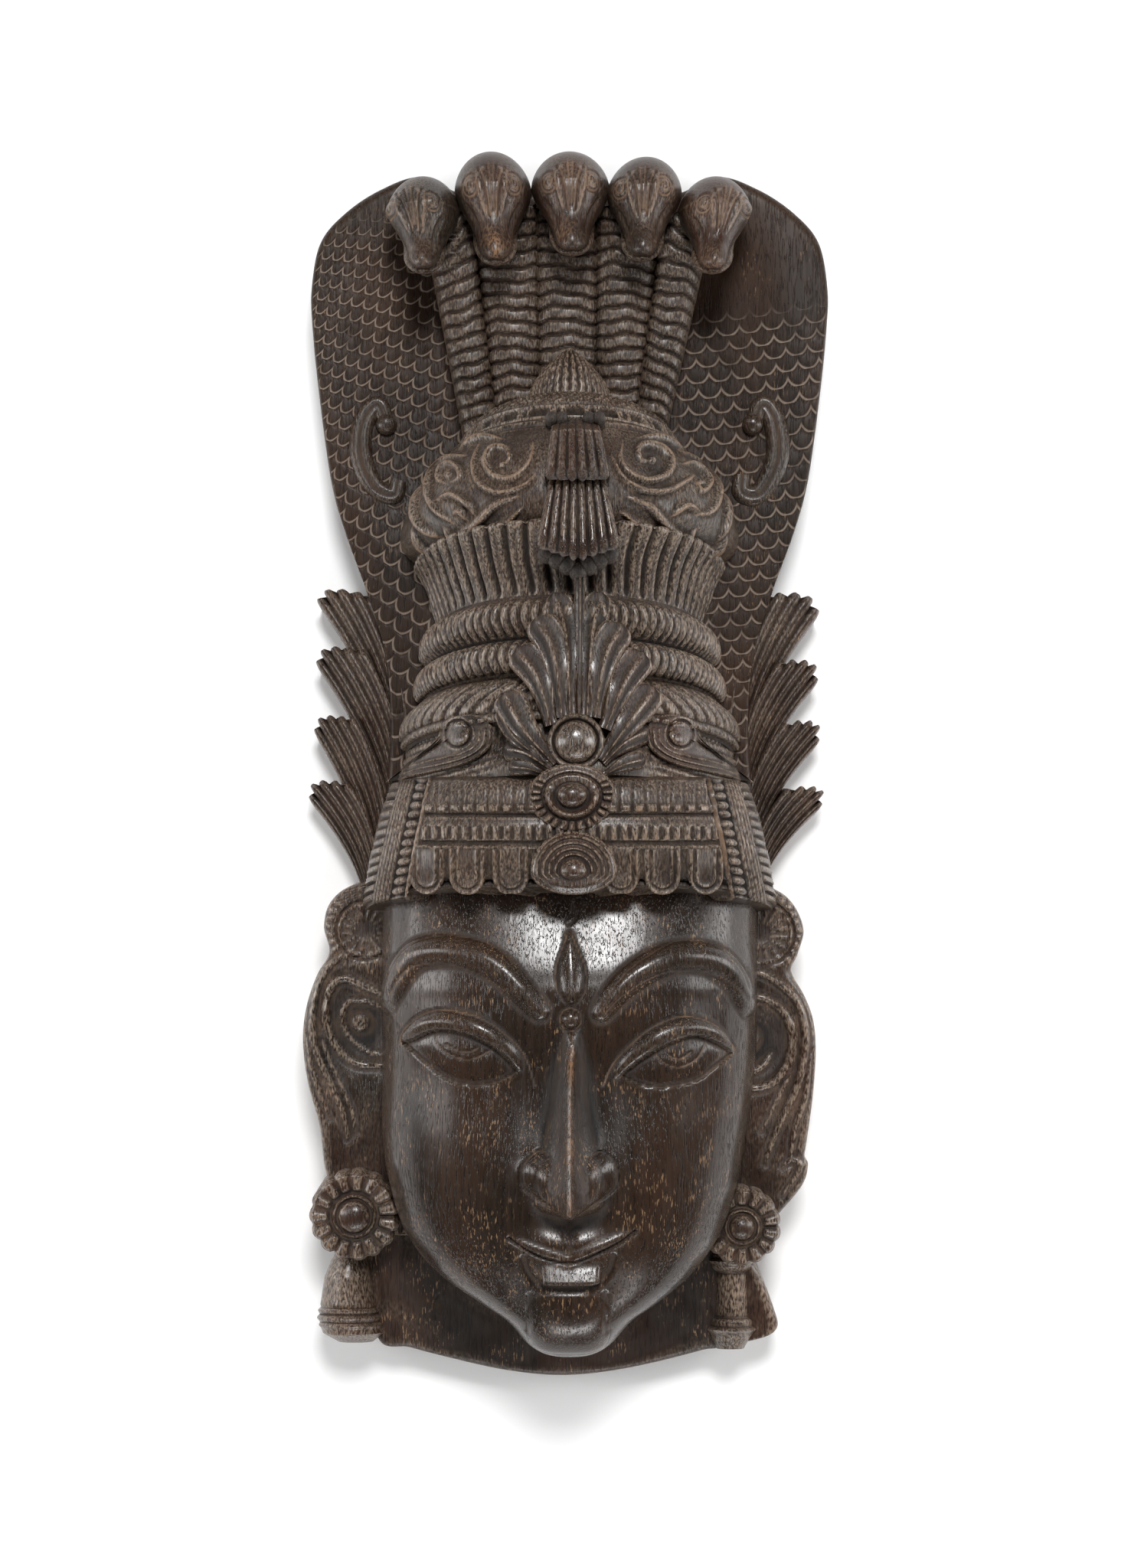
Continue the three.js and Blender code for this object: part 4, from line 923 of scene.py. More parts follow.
def paisley_rings(hand):
    """Rings drawn out from the knob to the comma's outline: a knob, a ring round it, then contour ridges
    that close up along the tail, on a ground that follows the crown."""
    outline = even(spline(PAISLEY_OUTLINE + PAISLEY_OUTLINE[:1], 16), 150)[:-1]
    knob = np.array(PAISLEY_KNOB)
    share = np.concatenate([np.linspace(0.02, 1, 40), [1.0]])
    flat = knob + (outline - knob) * share[:, None, None]
    away = np.linalg.norm(flat - knob, axis=2)
    x, y = flat[..., 0], flat[..., 1]
    ground = crown_depth(x, y) + 3.4
    out = share[:, None] + 0 * away
    rise = 6.2 * rounded(away / 6.8) + 1.3 * peak(away, 8.4, 0.8)
    for at in PAISLEY_CONTOURS:
        rise += 2.4 * peak(out, at, 0.045) * smooth(away, 9, 12) * smooth(-y, -26, -14)
    rise += swell(x, y, (-43.5, 15.5), (4, 5.5), 2.2)
    rise -= 1.5 * smooth(out, 0.95, 1.0)
    z = ground + rise
    z[-1] -= PAISLEY_DEEP
    x = x if hand < 0 else 2 * MIDLINE - x
    return np.dstack([x, y, z])


carve("crown_paisleys", [paisley_rings(-1), paisley_rings(1)], ornament_wood)


# The pendant on the front of the cap: a small fluted fan over a larger one, each wider and further out at its
# foot. Beads stand along both, all cut in the block and polished with the palmette.
PENDANT = [
    {"top": 161, "bottom": 120, "middle": (7.2, 7.6), "half": (14, 22), "front": (122, 133, 139),
     "flutes": 8, "point": 8.0},
    {"top": 189, "bottom": 156.5, "middle": (6.2, 7.2), "half": (12.2, 17.4), "front": (110, 126, 135),
     "flutes": 6, "point": 2.0},
]
PENDANT_DEEP = 30
# How strongly the beads are painted dark as shade.
PENDANT_BEAD_DARK = 0.8
LOWER_BEADS = 7
UPPER_BEADS = (-12.5, -7.5, 7.5, 12.5)


def pendant_rings(shape, rows=60, columns=96):
    """A fluted fan that widens downwards and stands further out: staves with thin bright crests, its lower
    edge cut into round lobes. With it: the painted shade in the cuts and along the lower edge."""
    share = np.linspace(0, 1, rows)
    across = np.linspace(-1, 1, columns)
    middle = np.interp(share, [0, 1], shape["middle"])
    half = np.interp(share, [0, 1], shape["half"])
    z0 = np.interp(share, [0, 0.25, 1], shape["front"])
    phase = (across + 1) / 2 * shape["flutes"]
    crest = np.sin(pi * (phase % 1)) ** 0.6
    lobe = 3.4 * np.abs(np.sin(pi * phase)) * smooth(share, 0.8, 1)[:, None]
    point = shape["point"] * (1 - np.abs(across)) * smooth(share, 0.6, 1)[:, None]
    y = shape["top"] + (shape["bottom"] - shape["top"]) * share[:, None] - lobe - point
    down = z0 + 3 * smooth(share, 0.85, 1) - 1.6 * peak(share, 0.06, 0.03)
    z = down[:, None] - 6 * across**2 + (1.6 + 2.4 * share[:, None]) * crest
    x = middle[:, None] + half[:, None] * across
    sunk = [np.dstack([x[:, [i]], y[:, [i]], z[:, [i]] - PENDANT_DEEP]) for i in (-1, 0)]
    # Painted shade in the cuts between the flutes and along the lower edge.
    dark = smooth(-crest, -0.62, -0.2) * np.ones((rows, 1)) + smooth(share, 0.93, 1)[:, None] * 0.6
    return np.concatenate([np.dstack([x, y, z]), *sunk], 1), np.hstack([dark, np.zeros((rows, 2))])


lobes = []
for off in (np.arange(LOWER_BEADS) + 0.5) / LOWER_BEADS * 2 - 1:
    at = (7.6 + 19.5 * off, 117 - 11 * (1 - abs(off)))
    lobes.append(knob(at, half=4.8, base=126, rise=6, deep=22))
for off in UPPER_BEADS:
    lobes.append(knob((6.2 + off, 189.5), half=3.8, base=110, rise=6, deep=18))
fans = [pendant_rings(shape) for shape in PENDANT]
# Painted shade: the fans' cuts and lower edges, and the beads all over.
pendant_dark = [fan[1] for fan in fans] + [np.full(lobe.shape[:2], PENDANT_BEAD_DARK) for lobe in lobes]
carve("crown_pendant", [fan[0] for fan in fans] + lobes, ornament_wood, extra={"painted_shade": pendant_dark}, fine=0.3)


# The headband over the forehead: a ribbed cushion, a plain strip, a row of short upright rods and a row of
# petals, between side columns of beads, stripes and squares. It is cut in the block where the crown meets the
# face, and its top edges are rubbed pale. Its rods' tips and teeth carry a painted highlight, its ridges pale
# lines that are part wear and part painted highlight, and its recesses painted shade.
BAND_SQUARENESS = 2.9
BAND_ROWS = [
    (-76.6, 110, 127), (-76.2, 115, 131), (-74.6, 118, 134.5), (-62, 117, 139), (-48, 115, 141),
    (-42, 113, 142), (-36, 112, 142.5), (-30, 110.5, 141), (-24, 109, 142), (-14, 105, 140.5),
    (-8, 102, 137), (-5, 98, 132),
]
BAND_LEAN = (([-78, -48, -5], [0.165, 0.11, 0.03]), 60)
BAND_LAYER = 0.3
CUSHION = {"low": -22.4, "high": -6, "pitch": 6.9}
CUSHION_TEETH = (-21.5, -18)
CUSHION_GROOVE = (-24.2, -22.6)
RODS = {"low": -36.4, "high": -29.6, "pitch": 5.6, "half": 2.0}
ROD_GROOVE = (-39.4, -37.0)
PETALS = {"across": [-73, -51, -27.9, 30.1, 52.2, 75.5], "half": 8.2, "round_below": -56.5}
# Side columns, by their share of the way from the midline to the band's end.
COLUMN_STRIP = (0.735, 0.75)
BEAD_COLUMN = (0.752, 0.833)
STRIPE_COLUMN = (0.838, 0.918)
SQUARE_COLUMN = (0.928, 0.992)

band_wood = hardwood("headband_wood", gloss=0.36, dust_and_highlight=0.15, rub_and_highlight=0.9, warm=0.55, pale=0.45, shine=0.5)
band, row = arch(BAND_ROWS, BAND_SQUARENESS, BAND_LEAN, np.linspace(0, 1, 430), step=0.9)
x, y = band[..., 0], band[..., 1]
side = np.abs(x - MIDLINE) / np.interp(row, [-76, -8], [118, 101])
front = 1 - smooth(side, 0.72, 0.735)

cushion = inside(y, CUSHION["low"], CUSHION["high"], 0.5) * front
rib_phase = (x - 1.5) / CUSHION["pitch"]
teeth = off_middle(rib_phase)
relief = cushion * (fluting(rib_phase, 1.1, 0.25) + 0.22 * np.cos(2 * pi * rib_phase * 4))
relief += front * 1.3 * inside(y, *CUSHION_TEETH, 0.5) * (1 - smooth(teeth, 0.3, 0.4))
relief -= front * 1.5 * inside(y, *CUSHION_GROOVE, 0.4)

rods = off_middle((x - 1.0) / RODS["pitch"]) * RODS["pitch"]
rod_row = inside(y, RODS["low"], RODS["high"], 0.4) * front
relief += rod_row * (1.9 * rounded(rods / RODS["half"]) - 1.2)
relief -= front * 1.5 * inside(y, *ROD_GROOVE, 0.4)
relief += front * 0.7 * peak(y, -40.4, 0.5)

petal_row = front * (1 - smooth(y, -41.8, -41.2))
nearest = np.min([np.abs(x - at) for at in PETALS["across"]], axis=0)
bowl = np.hypot(nearest, np.maximum(0, PETALS["round_below"] - y)) - PETALS["half"]
relief += petal_row * (1.5 * peak(bowl, 0, 0.9) + 0.8 * peak(bowl, -3.2, 0.7) - 0.9 * peak(bowl, -1.7, 0.7))
relief += petal_row * smooth(bowl, 1.2, 1.8) * (0.45 * np.cos(2 * pi * nearest / 2.35) - 0.7)
relief -= petal_row * smooth(bowl, 1, 3) * smooth(-y, 60.5, 63.5) * 3

strip = inside(side, *COLUMN_STRIP, 0.004)
strip_cut = inside(side, COLUMN_STRIP[0] - 0.008, COLUMN_STRIP[0] + 0.008, 0.004)
beads_across = (side - 0.793) / 0.034
beads_along = off_middle((row + 2.0) / 5.6) * 2
bead_column = inside(side, *BEAD_COLUMN, 0.004)
stripes = inside(side, *STRIPE_COLUMN, 0.003)
stripe_wave = np.cos(2 * pi * (side - 0.84) / 0.0195)
squares = inside(side, *SQUARE_COLUMN, 0.004)
square_gap = off_middle((row + 1.0) / 5.3)
relief += 1.0 * strip - 2.2 * strip_cut * smooth(x, 0, 10)
relief += bead_column * (2.6 * rounded(np.hypot(beads_across, beads_along * 1.05)) - 1.6)
relief += stripes * 0.6 * stripe_wave
relief += squares * (1.0 - 2 * smooth(square_gap, 0.28, 0.38) + 0.3 * np.cos(2 * pi * row / 1.3))
relief *= smooth(row, -76.4, -75.6) * smooth(-row, 5.4, 6.4)
band[..., 1] += 3.6 * smooth(bowl, 0.5, 3.5) * smooth(-row, 62, 74) * front * smooth(band[..., 2], 80, 110)

# Pale lines on the petal ridges, stripe crests, column strip and rib cuts, part wear and part painted
# highlight.
drawn = petal_row * (peak(bowl, 0, 0.55) + 0.85 * peak(bowl, -3.2, 0.45))
drawn += 0.8 * stripes * smooth(stripe_wave, 0.6, 0.95)
drawn += 0.9 * inside(side, *COLUMN_STRIP, 0.002)
drawn += 0.75 * front * cushion * smooth(np.cos(2 * pi * rib_phase), 0.9, 1)
# Painted highlight on the lower tips of the rods.
drawn += rod_row * smooth(-rods, -1.3, -0.5) * smooth(-y, 32.5, 34) * (0.7 + 0.3 * smooth(x, 15, 25))
# Painted highlight on the teeth.
teeth_highlight = inside(y, -21.3, -18.4, 0.5) * (1 - smooth(teeth, 0.2, 0.3))
drawn += front * teeth_highlight * (0.62 + 0.35 * smooth(x, 15, 40))
# Painted shade in the recesses and round each bead of the column.
dark = 0.9 * smooth(-relief, 0.35, 1.5)
dark += 0.7 * bead_column * smooth(np.hypot(beads_across, beads_along), 0.85, 1.1)
band_marks = {"hair": [with_floor(drawn)], "painted_shade": [with_floor(dark)]}
carve("headband", [closed_arch(lifted(band, relief), BAND_LAYER)], band_wood, extra=band_marks, fine=0.25)


# Two round medallions at the middle of the headband, one over the other. The upper is a dome in a ring with a
# notched rim, the lower a dome over concentric arches. Both are cut in the block and polished.
MEDALLIONS = {"notched": (4.4, -12.6), "arched": (5.2, -52.8)}
MEDALLION_GROUND = 143.5
MEDALLION_FOOT = 128
MEDALLION_NOTCHES = 26
# How flat each medallion looks from the front: the share of its width that its lower and upper half reach.
MEDALLION_SQUASH = {"notched": (0.86, 0.72), "arched": (0.55, 0.95)}


def medallion(kind, around=90):
    """A round boss in shallow rings: heights by distance from its middle, notched round the rim above, or
    with concentric arches open below."""
    centre = MEDALLIONS[kind]
    r = np.append(np.linspace(0.4, 21.5, 48), [22.3, 22.6, 22.6])[:, None]
    turn = np.linspace(0, 2 * pi, around, endpoint=False)[None]
    up = np.sin(turn)
    if kind == "notched":
        rise = 5.4 * rounded(r / 7.8) - 0.8 * peak(r, 8.8, 0.8) - 2.2 * peak(r, 15.4, 1.0)
        rise = rise + 3.6 * peak(r, 12.2, 1.7) * smooth(-up, -0.55, 0.3)
        notch = smooth(off_middle(turn / (2 * pi) * MEDALLION_NOTCHES), 0.24, 0.38)
        rise = rise + inside(r, 16.4, 21.6, 0.6) * (2.0 - 3.4 * notch) * smooth(-up, -0.75, -0.3)
    else:
        lean = r * (1 + 0.12 * smooth(-up, 0, 1))
        rise = 5.6 * rounded(r / 7.2)
        for at in (9.6, 12.8, 16.0, 19.2):
            rise = rise + 2.0 * peak(lean, at, 0.9) * smooth(up, -0.75, -0.2)
    z = MEDALLION_GROUND + 2.2 * (1 - smooth(r, 14, 22.5)) + rise - 3.0 * smooth(r, 21.2, 22.6)
    z[-1] = MEDALLION_FOOT
    squash = np.where(up < 0, *MEDALLION_SQUASH[kind])
    return np.dstack([centre[0] + r * np.cos(turn), centre[1] + r * up * squash, z])


carve("headband_medallions", [medallion(kind) for kind in MEDALLIONS], ornament_wood, fine=0.25)


# Four feathery fronds stand out on each side behind the headband, each a fan of five ribs cut with a gouge
# and ending in rounded lobes. They are as dark as the crown, with tan edges along the cuts, part wear and
# part painted highlight.
# Each frond: inner root, inner tip, outer root and outer tip, measured out from the midline.
FRONDS = {
    -1: [((92, 3), (113, 103), (102, -1), (144, 94)), ((94, -24), (120, 73), (104, -36), (144.5, 57.5)),
         ((103, -56), (125, 33), (113, -70), (146, 18)), ((108, -72), (129, -4), (119, -77), (148, -21))],
    1: [((90, 3), (112, 104), (104, 8), (142, 87)), ((96, -20), (122, 66), (106, -17), (140.5, 47)),
        ((98, -50), (126, 31), (108, -46), (141, 12)), ((104, -66), (128, -7), (112, -69), (142, -25))],
}
FROND_LOBES = (-2.0, 3.0, 7.0, 9.0, 6.0)
LOBE_ROUNDING = (0.5, 1.0, 2.0, 4.0, 4.0)
FROND_HEIGHTS = (39.0, 12.0, 4.0)
FROND_STEP = 1.3
INNER_BEND = (2.4, 1)
OUTER_BEND = (1.6, 1)


def frond_rings(shape, order, hand, rows=56, across=41):
    """Ribs from root to tip: each edge runs straight up while its way out grows faster and faster, and each
    rib runs past the tip line by its own lobe. Between ribs lie sharp cuts."""
    inner_root, inner_tip, outer_root, outer_tip = np.array(shape, float)
    side = np.linspace(0, 1, across)[None]
    rib = side * len(FROND_LOBES)
    index = np.minimum(rib.astype(int), len(FROND_LOBES) - 1)
    off = np.abs(2 * (rib - index) - 1)
    lobes = np.array(FROND_LOBES)[index] - np.array(LOBE_ROUNDING)[index] * off**3.5
    way = np.linspace(0, 1, rows)[:, None] ** 0.85
    along = (way * (1 + lobes / np.linalg.norm(outer_tip - outer_root)))[..., None]
    inner = inner_root + (inner_tip - inner_root) * along**INNER_BEND
    outer = outer_root + (outer_tip - outer_root) * along**OUTER_BEND
    flat = inner + (outer - inner) * side[..., None]
    high, fall, drop = FROND_HEIGHTS
    z = high - FROND_STEP * order - fall * side**0.8 - drop * way
    z = z - 2.4 * off**5.2 * (0.35 + 0.65 * smooth(way, 0, 0.5)) + 0.45 * np.cos(2 * pi * rib * 3)
    z = z - 4 * smooth(way, 0.955, 1) ** 2 - 3 * smooth(side, 0.96, 1)
    top = np.dstack([MIDLINE + hand * flat[..., 0], flat[..., 1], z])
    feet = [top[:, [i]] * (1, 1, 0) + (0, 0, 0.15 + 0.1 * order) for i in (-1, 0)]
    return np.concatenate([top, *feet], 1)


frond_wood = hardwood("frond_wood", gloss=0.34, dust_and_highlight=0.3, rub_and_highlight=0.4, warm=0.9, pale=0.25, fleck=0.6)
fronds = [
    frond_rings(shape, order, hand) for hand, shapes in FRONDS.items() for order, shape in enumerate(shapes)
]
carve("side_fronds", fronds, frond_wood, fine=0.3)


# The face: smooth, hand-polished and nearly symmetrical, with arched brows, heavy half-closed lids, a sharp
# straight nose and a small smiling mouth. It is cut in the same block and rubbed smooth, with a drop-shaped
# mark and a bead on the forehead.
FACE_SQUARENESS = 3.4
FACE_LAYER = 0.75
FACE_ROWS = [
    (-58, 107, 107.5), (-60, 107, 108.2), (-85, 107.5, 116.6), (-110, 107.5, 124.3), (-124, 107.5, 126.3),
    (-160, 107, 124), (-200, 104.5, 126), (-232, 99.5, 127), (-257, 91, 125), (-276, 77, 121),
    (-290, 58, 117), (-299, 43, 113.5), (-306, 35, 110), (-311.5, 30.5, 106.5), (-315.5, 26, 102),
    (-318, 20, 97), (-319.3, 10, 91), (-319.8, 4, 85),
]
# Broad rises and hollows: cheeks, brow hollows, muzzle, chin, and the hollows beside the nose.
FACE_SWELLS = [
    ((-50, -215), (30, 36), 1.2), ((53, -215), (30, 36), 1.2), ((-49, -122), (30, 12), -2.0),
    ((56, -122), (30, 12), -2.0), ((3, -252), (30, 20), 4.0), ((3, -296), (20, 17), 4),
    ((-22, -172), (13, 26), -3.4), ((30, -172), (13, 26), -3.4),
]
BROWS = [
    {"upper": [(-99, -124), (-84, -97), (-64, -89), (-39, -93), (-23, -108), (-12, -126)],
     "lower": [(-97, -134), (-88, -115), (-78, -105.5), (-60, -104), (-39, -112), (-23, -124), (-13, -130)]},
    {"upper": [(101, -126), (97.5, -118), (91, -104), (80, -94), (66, -91), (54, -94), (33, -108),
               (19, -127)],
     "lower": [(101, -134), (95, -121), (83, -111), (68, -107.5), (54, -108), (40, -114), (28, -122),
               (21, -130)]},
]
EYES = [
    {"crease": [(-90, -148), (-86, -139), (-74, -130), (-60.5, -128.2), (-42.6, -132.6), (-28, -143),
               (-20, -154), (-15.6, -168)],
     "upper": [(-88, -148), (-81, -145), (-73, -140.6), (-63, -138.6), (-49.5, -141), (-36, -148.4),
               (-25, -161)],
     "lower": [(-88, -148), (-74, -157.5), (-63, -164.6), (-49.5, -168), (-36, -166.2), (-25, -161)],
     "rings": [[(-69.5, -139), (-67.4, -147), (-59, -152.4), (-49.5, -154), (-40.5, -150), (-36.5, -147)],
               [(-63.4, -146.4), (-56, -149.6), (-49.5, -149.8), (-46, -148)]]},
    {"crease": [(21, -168), (26, -157), (35, -146.6), (47, -136.8), (62, -131.4), (75, -133.6),
               (86, -140.6), (93.5, -152)],
     "upper": [(30, -163), (36, -158.4), (44, -152), (57, -145), (72, -142), (87, -149.4), (92, -154)],
     "lower": [(30, -163), (42, -167.4), (54, -169), (72, -165.6), (82, -159.6), (92, -154)],
     "rings": [[(48.5, -149), (50.6, -153), (55, -156.8), (62, -158.4), (71, -154.4), (77, -145.6)],
               [(56, -152.4), (62, -154), (68, -150.6)]]},
]
EYEBALL = {"rise": 3.6, "sunk": 3.0}
EYE_HAIRS = {"crease": 0.85, "upper": 0.72, "lower": 0.74}
NOSE = {
    "rows": (-137, -142, -150, -180, -206, -222, -230, -233.5, -236.5, -240),
    "rise": (0.0, 4.5, 8.8, 18, 26, 31.5, 33, 24, 8, 0), "half": (4, 4.5, 6.5, 10, 15, 19.5, 19.5, 17, 12, 8),
}
NOSE_RIDGE = (-233, -139)
# Each nose wing: centre and two half sizes.
WINGS = [(-13.0, -213, 9.6, 12.5), (17.0, -213.5, 9.4, 12.5)]
WING_CUTS = [
    [(-7.6, -203.5), (-12.5, -201.5), (-19, -206), (-22.6, -213), (-21.4, -220.5), (-15, -226),
     (-7, -229.5), (-1, -233.5)],
    [(15, -203.6), (20, -202.2), (26, -206.6), (28.4, -214), (27, -221), (21, -226), (12, -230.5),
     (6, -233.8)],
]
LIP_LINE = [
    (-28, -248.4), (-20, -250.9), (-10, -254), (-4, -255.4), (3, -256.6), (9, -252.2), (15, -248),
    (22, -246.6), (36, -244.5),
]
MOUTH_LINE = [
    (-29, -248.4), (-15, -256.4), (-3, -259.8), (7, -259.8), (19, -255.2), (29, -250.8), (38, -244.6),
]
UPPER_LIP = [
    (-27, -248.6), (-14, -254), (-4, -257.6), (3.4, -258.8), (10, -256.4), (20, -251.4), (34, -245.4),
]
LOWER_LIP = {"x": 3.9, "half": 15.6, "top": -261.4, "bottom": -270.0, "rise": 7.2}
LOWER_LIP_CUT = [
    (-21, -259), (-19, -266), (-14, -272.4), (-5, -275), (9, -275), (18, -272), (23.6, -266), (26, -258),
]
CHIN_LINES = [[(-18, -280), (-17.6, -290), (-19, -301)], [(22, -279), (21.6, -290), (22.4, -300)]]
CHIN = {"centre": (2.4, -296), "half": (22, 18), "rise": 1.8, "power": 4}
DROP = {
    "rows": (-76, -80, -85, -90, -96, -103, -110, -118, -122, -124),
    "half": (0, 0.5, 0.7, 2.1, 4.6, 7.4, 8.6, 7.4, 4.4, 0),
}
FLAME = [[(3, -84), (1.6, -80), (4.4, -75.6), (4.6, -71)], [(3.4, -82), (6, -79.4), (6.8, -76)]]
FOREHEAD_BEAD = {"centre": (3.7, -132), "half": (5.2, 5.2), "rise": 4.4}


def at_row(table, key, y):
    """A table's measure at each height up the block; its rows are listed from the top down."""
    return np.interp(-y, -np.array(table["rows"]), table[key])


def dome(x, y, centre, half, rise, power=2.0):
    """A rounded boss over an oval, or over a rounded box with a power above two."""
    away = np.abs((x - centre[0]) / half[0]) ** power + np.abs((y - centre[1]) / half[1]) ** power
    return rise * np.sqrt(np.maximum(0, 1 - away))


def fold(x, y, points, width, rise, taper):
    """A soft ridge along a smooth line, a parabola across, slimmer at its ends by the taper."""
    share, slim = ridge_shares(x, y, points, width, taper)
    return rise * slim * np.maximum(0, 1 - share**2)


def edge_height(points, x):
    """Height up the block of a drawn line at each place across."""
    line = spline(points, 16)
    return np.interp(x, line[:, 0], line[:, 1])


def blend(first, second, share):
    """A line between two drawn lines, nearer to the second by the share."""
    return even(spline(first), 60) * (1 - share) + even(spline(second), 60) * share


def eye_relief(x, y, eye):
    """The eyeball sunk between its lids: a rolled upper lid below the crease, a thin lower lid, ring cuts."""
    upper = np.array(eye["upper"], float)
    roll = blend(eye["crease"], upper, 0.55)
    relief = fold(x, y, roll[2:-4], width=13, rise=4.4, taper=0.2)
    relief += cut(x, y, eye["crease"], width=2.0, depth=0.7)
    top, bottom = edge_height(upper, x), edge_height(eye["lower"], x)
    open_eye = (x > upper[0, 0]) & (x < upper[-1, 0]) & (y < top) & (y > bottom)
    way = np.clip((y - bottom) / np.maximum(top - bottom, 0.1), 0, 1)
    span = np.clip((x - upper[0, 0]) / (upper[-1, 0] - upper[0, 0]), 0, 1)
    ball = EYEBALL["rise"] * np.sqrt(np.maximum(0, 4 * span * (1 - span))) * (1 - (1.5 * way - 0.75) ** 2)
    relief = np.where(open_eye, ball - EYEBALL["sunk"], relief)
    return relief + sum(cut(x, y, ring, width=1.7, depth=0.5) for ring in eye["rings"]) * open_eye


def mark_relief(x, y):
    """The forehead's drop: a cut outline, a bevel inside it and a polished swell, with a bead beneath. With
    it: how pale the drop's and the bead's edges are."""
    width = at_row(DROP, "half", y)
    off = np.abs(x - np.interp(y, [-124, -86], [4.2, 3.0]))
    marked = (y < DROP["rows"][0]) & (y > DROP["rows"][-1])
    within = np.maximum(0, 1 - (off / np.maximum(width * 0.8, 0.1)) ** 2)
    relief = np.where(marked & (width > 1), 3.4 * within**0.8, 0)
    relief += np.where(marked & (width > 2), -0.8 * peak(off, width * 0.86, 0.9), 0)
    from_bead = np.hypot(x - FOREHEAD_BEAD["centre"][0], y - FOREHEAD_BEAD["centre"][1])
    relief += dome(x, y, **FOREHEAD_BEAD) - 0.9 * peak(from_bead, 6.0, 0.8)
    relief += sum(cut(x, y, line, width=1.5, depth=0.8) for line in FLAME)
    edge = np.where(marked & (width > 1.5), peak(off, width, 0.9), 0)
    return relief, np.maximum(edge, peak(from_bead, 5.8, 0.8))


def mouth_relief(x, y):
    """The mouth: a deep line between a soft upper lip and a full lower one, the hollow under the nose above
    it, and a cut that curves round below it."""
    lip_edge = edge_height(LIP_LINE, x)
    relief = cut(x, y, MOUTH_LINE, width=3.4, depth=2.6)
    relief += fold(x, y, UPPER_LIP, width=8, rise=1.8, taper=0.2)
    relief -= 4.6 * smooth(y, -253, -240) * swell(x, y, (3, -243), (19, 10), 1.0)
    relief -= 1.6 * peak(x, 3, 2.6) * smooth(y, lip_edge, lip_edge + 2) * (1 - smooth(y, -241, -237))
    top, bottom, half = LOWER_LIP["top"], LOWER_LIP["bottom"], LOWER_LIP["half"]
    across = 1 - smooth(np.abs(x - LOWER_LIP["x"]), half - 1.6, half + 1.6)
    slope = np.clip((top - y) / (top - bottom), 0, 1)
    relief += LOWER_LIP["rise"] * across * slope * smooth(y, bottom - 2.4, bottom + 0.4)
    return relief + cut(x, y, LOWER_LIP_CUT, width=7, depth=1.8)


def face_relief(x, y):
    """All the carving of the face over its plain egg-shaped ground, the tan wear along the nose, and the
    hairlines that edge the brows, lids, wings and lips."""
    relief, edge = mark_relief(x, y)
    relief += dome(x, y, **CHIN) + mouth_relief(x, y)
    relief += sum(swell(x, y, *shape) for shape in FACE_SWELLS)
    drawn = [(line, 0.78) for line in WING_CUTS]
    for brow in BROWS:
        middle = blend(brow["upper"], brow["lower"], 0.5)
        relief += fold(x, y, middle, width=18, rise=5.6, taper=0.62)
        relief += sum(cut(x, y, line, width=2.2, depth=0.7) for line in brow.values())
        drawn += [(line, 0.72) for line in brow.values()]
    for eye in EYES:
        relief += eye_relief(x, y, eye)
        drawn += [(eye[key], strength) for key, strength in EYE_HAIRS.items()]
        drawn += [(ring, 0.85) for ring in eye["rings"]]
    away = np.abs(x - 3.2 - 1.2 * smooth(y, -175, -135)) / at_row(NOSE, "half", y)
    relief += at_row(NOSE, "rise", y) * np.maximum(0, 1 - away) ** 1.4
    relief += sum(swell(x, y, wing[:2], wing[2:], 8.5) * smooth(away, 0.2, 0.8) for wing in WINGS)
    relief += sum(cut(x, y, line, width=3.0, depth=1.6) for line in WING_CUTS)
    relief += sum(cut(x, y, line, width=6, depth=0.8) for line in CHIN_LINES)
    off_ridge = np.abs(x - 3.4 - 1.0 * smooth(y, -175, -135))
    on_ridge = inside(y, *NOSE_RIDGE, 2)
    hair = np.maximum(edge, 0.9 * peak(off_ridge, 0, 1.0) * on_ridge)
    for line, strength in drawn:
        hair = np.maximum(hair, strength * hairline(x, y, line))
    return relief, peak(off_ridge, 0, 1.5) * on_ridge, hair


face_wood = hardwood(
    "polished_face_wood", gloss=0.24, dust_and_highlight=0.2, rub_and_highlight=0.2, warm=0.35, fleck=0.7, shine=0.46, dense=0.02
)
right_part = np.linspace(0, 0.25, 20, endpoint=False)
front_part = np.linspace(0.25, 0.75, 204)
shares = np.concatenate([right_part, front_part, np.linspace(0.75, 1, 21)[1:]])
face, row = arch(FACE_ROWS, FACE_SQUARENESS, (0, 0), shares, step=1.1)
relief, worn, hair = face_relief(face[..., 0], face[..., 1])
relief *= smooth(face[..., 2], 60, 80)
face[..., 0] -= 3.5 * smooth(np.abs(face[..., 0] - MIDLINE), 40, 90) * smooth(-face[..., 1], 150, 220)
face_marks = {"worn": [with_floor(worn)], "hair": [with_floor(hair)]}
face = closed_arch(lifted(face, relief), FACE_LAYER)
carve("face", [face], face_wood, extra=face_marks, fine=0.4, broad=2.2)


# The neck below the face: a plain flat band with a curved lower edge, cracked and rubbed dull by handling.
# It is left rough from the gouge and darker than the face.
NECK_PLATE = [
    (-118, -236), (-113, -285), (-107, -326), (-89, -331), (-70, -336), (-34, -344), (0, -347),
    (36, -343), (78, -333), (92, -327), (104, -290), (112, -240),
]
NECK_THICK = 31
NECK_EDGE = 3.5
NECK_INNER = {"half_width": 76, "half_length": 206, "y": -82}
NECK_THICK = 31
NECK_EDGE = 3.5
NECK_LAYER = 0.45
NECK_CRACKS = [
    [(43, -300), (40, -309), (36, -316), (34.6, -324), (33, -331)], [(46, -296), (44, -305), (40, -314)],
    [(-74, -300), (-71, -311), (-73, -322)],
]


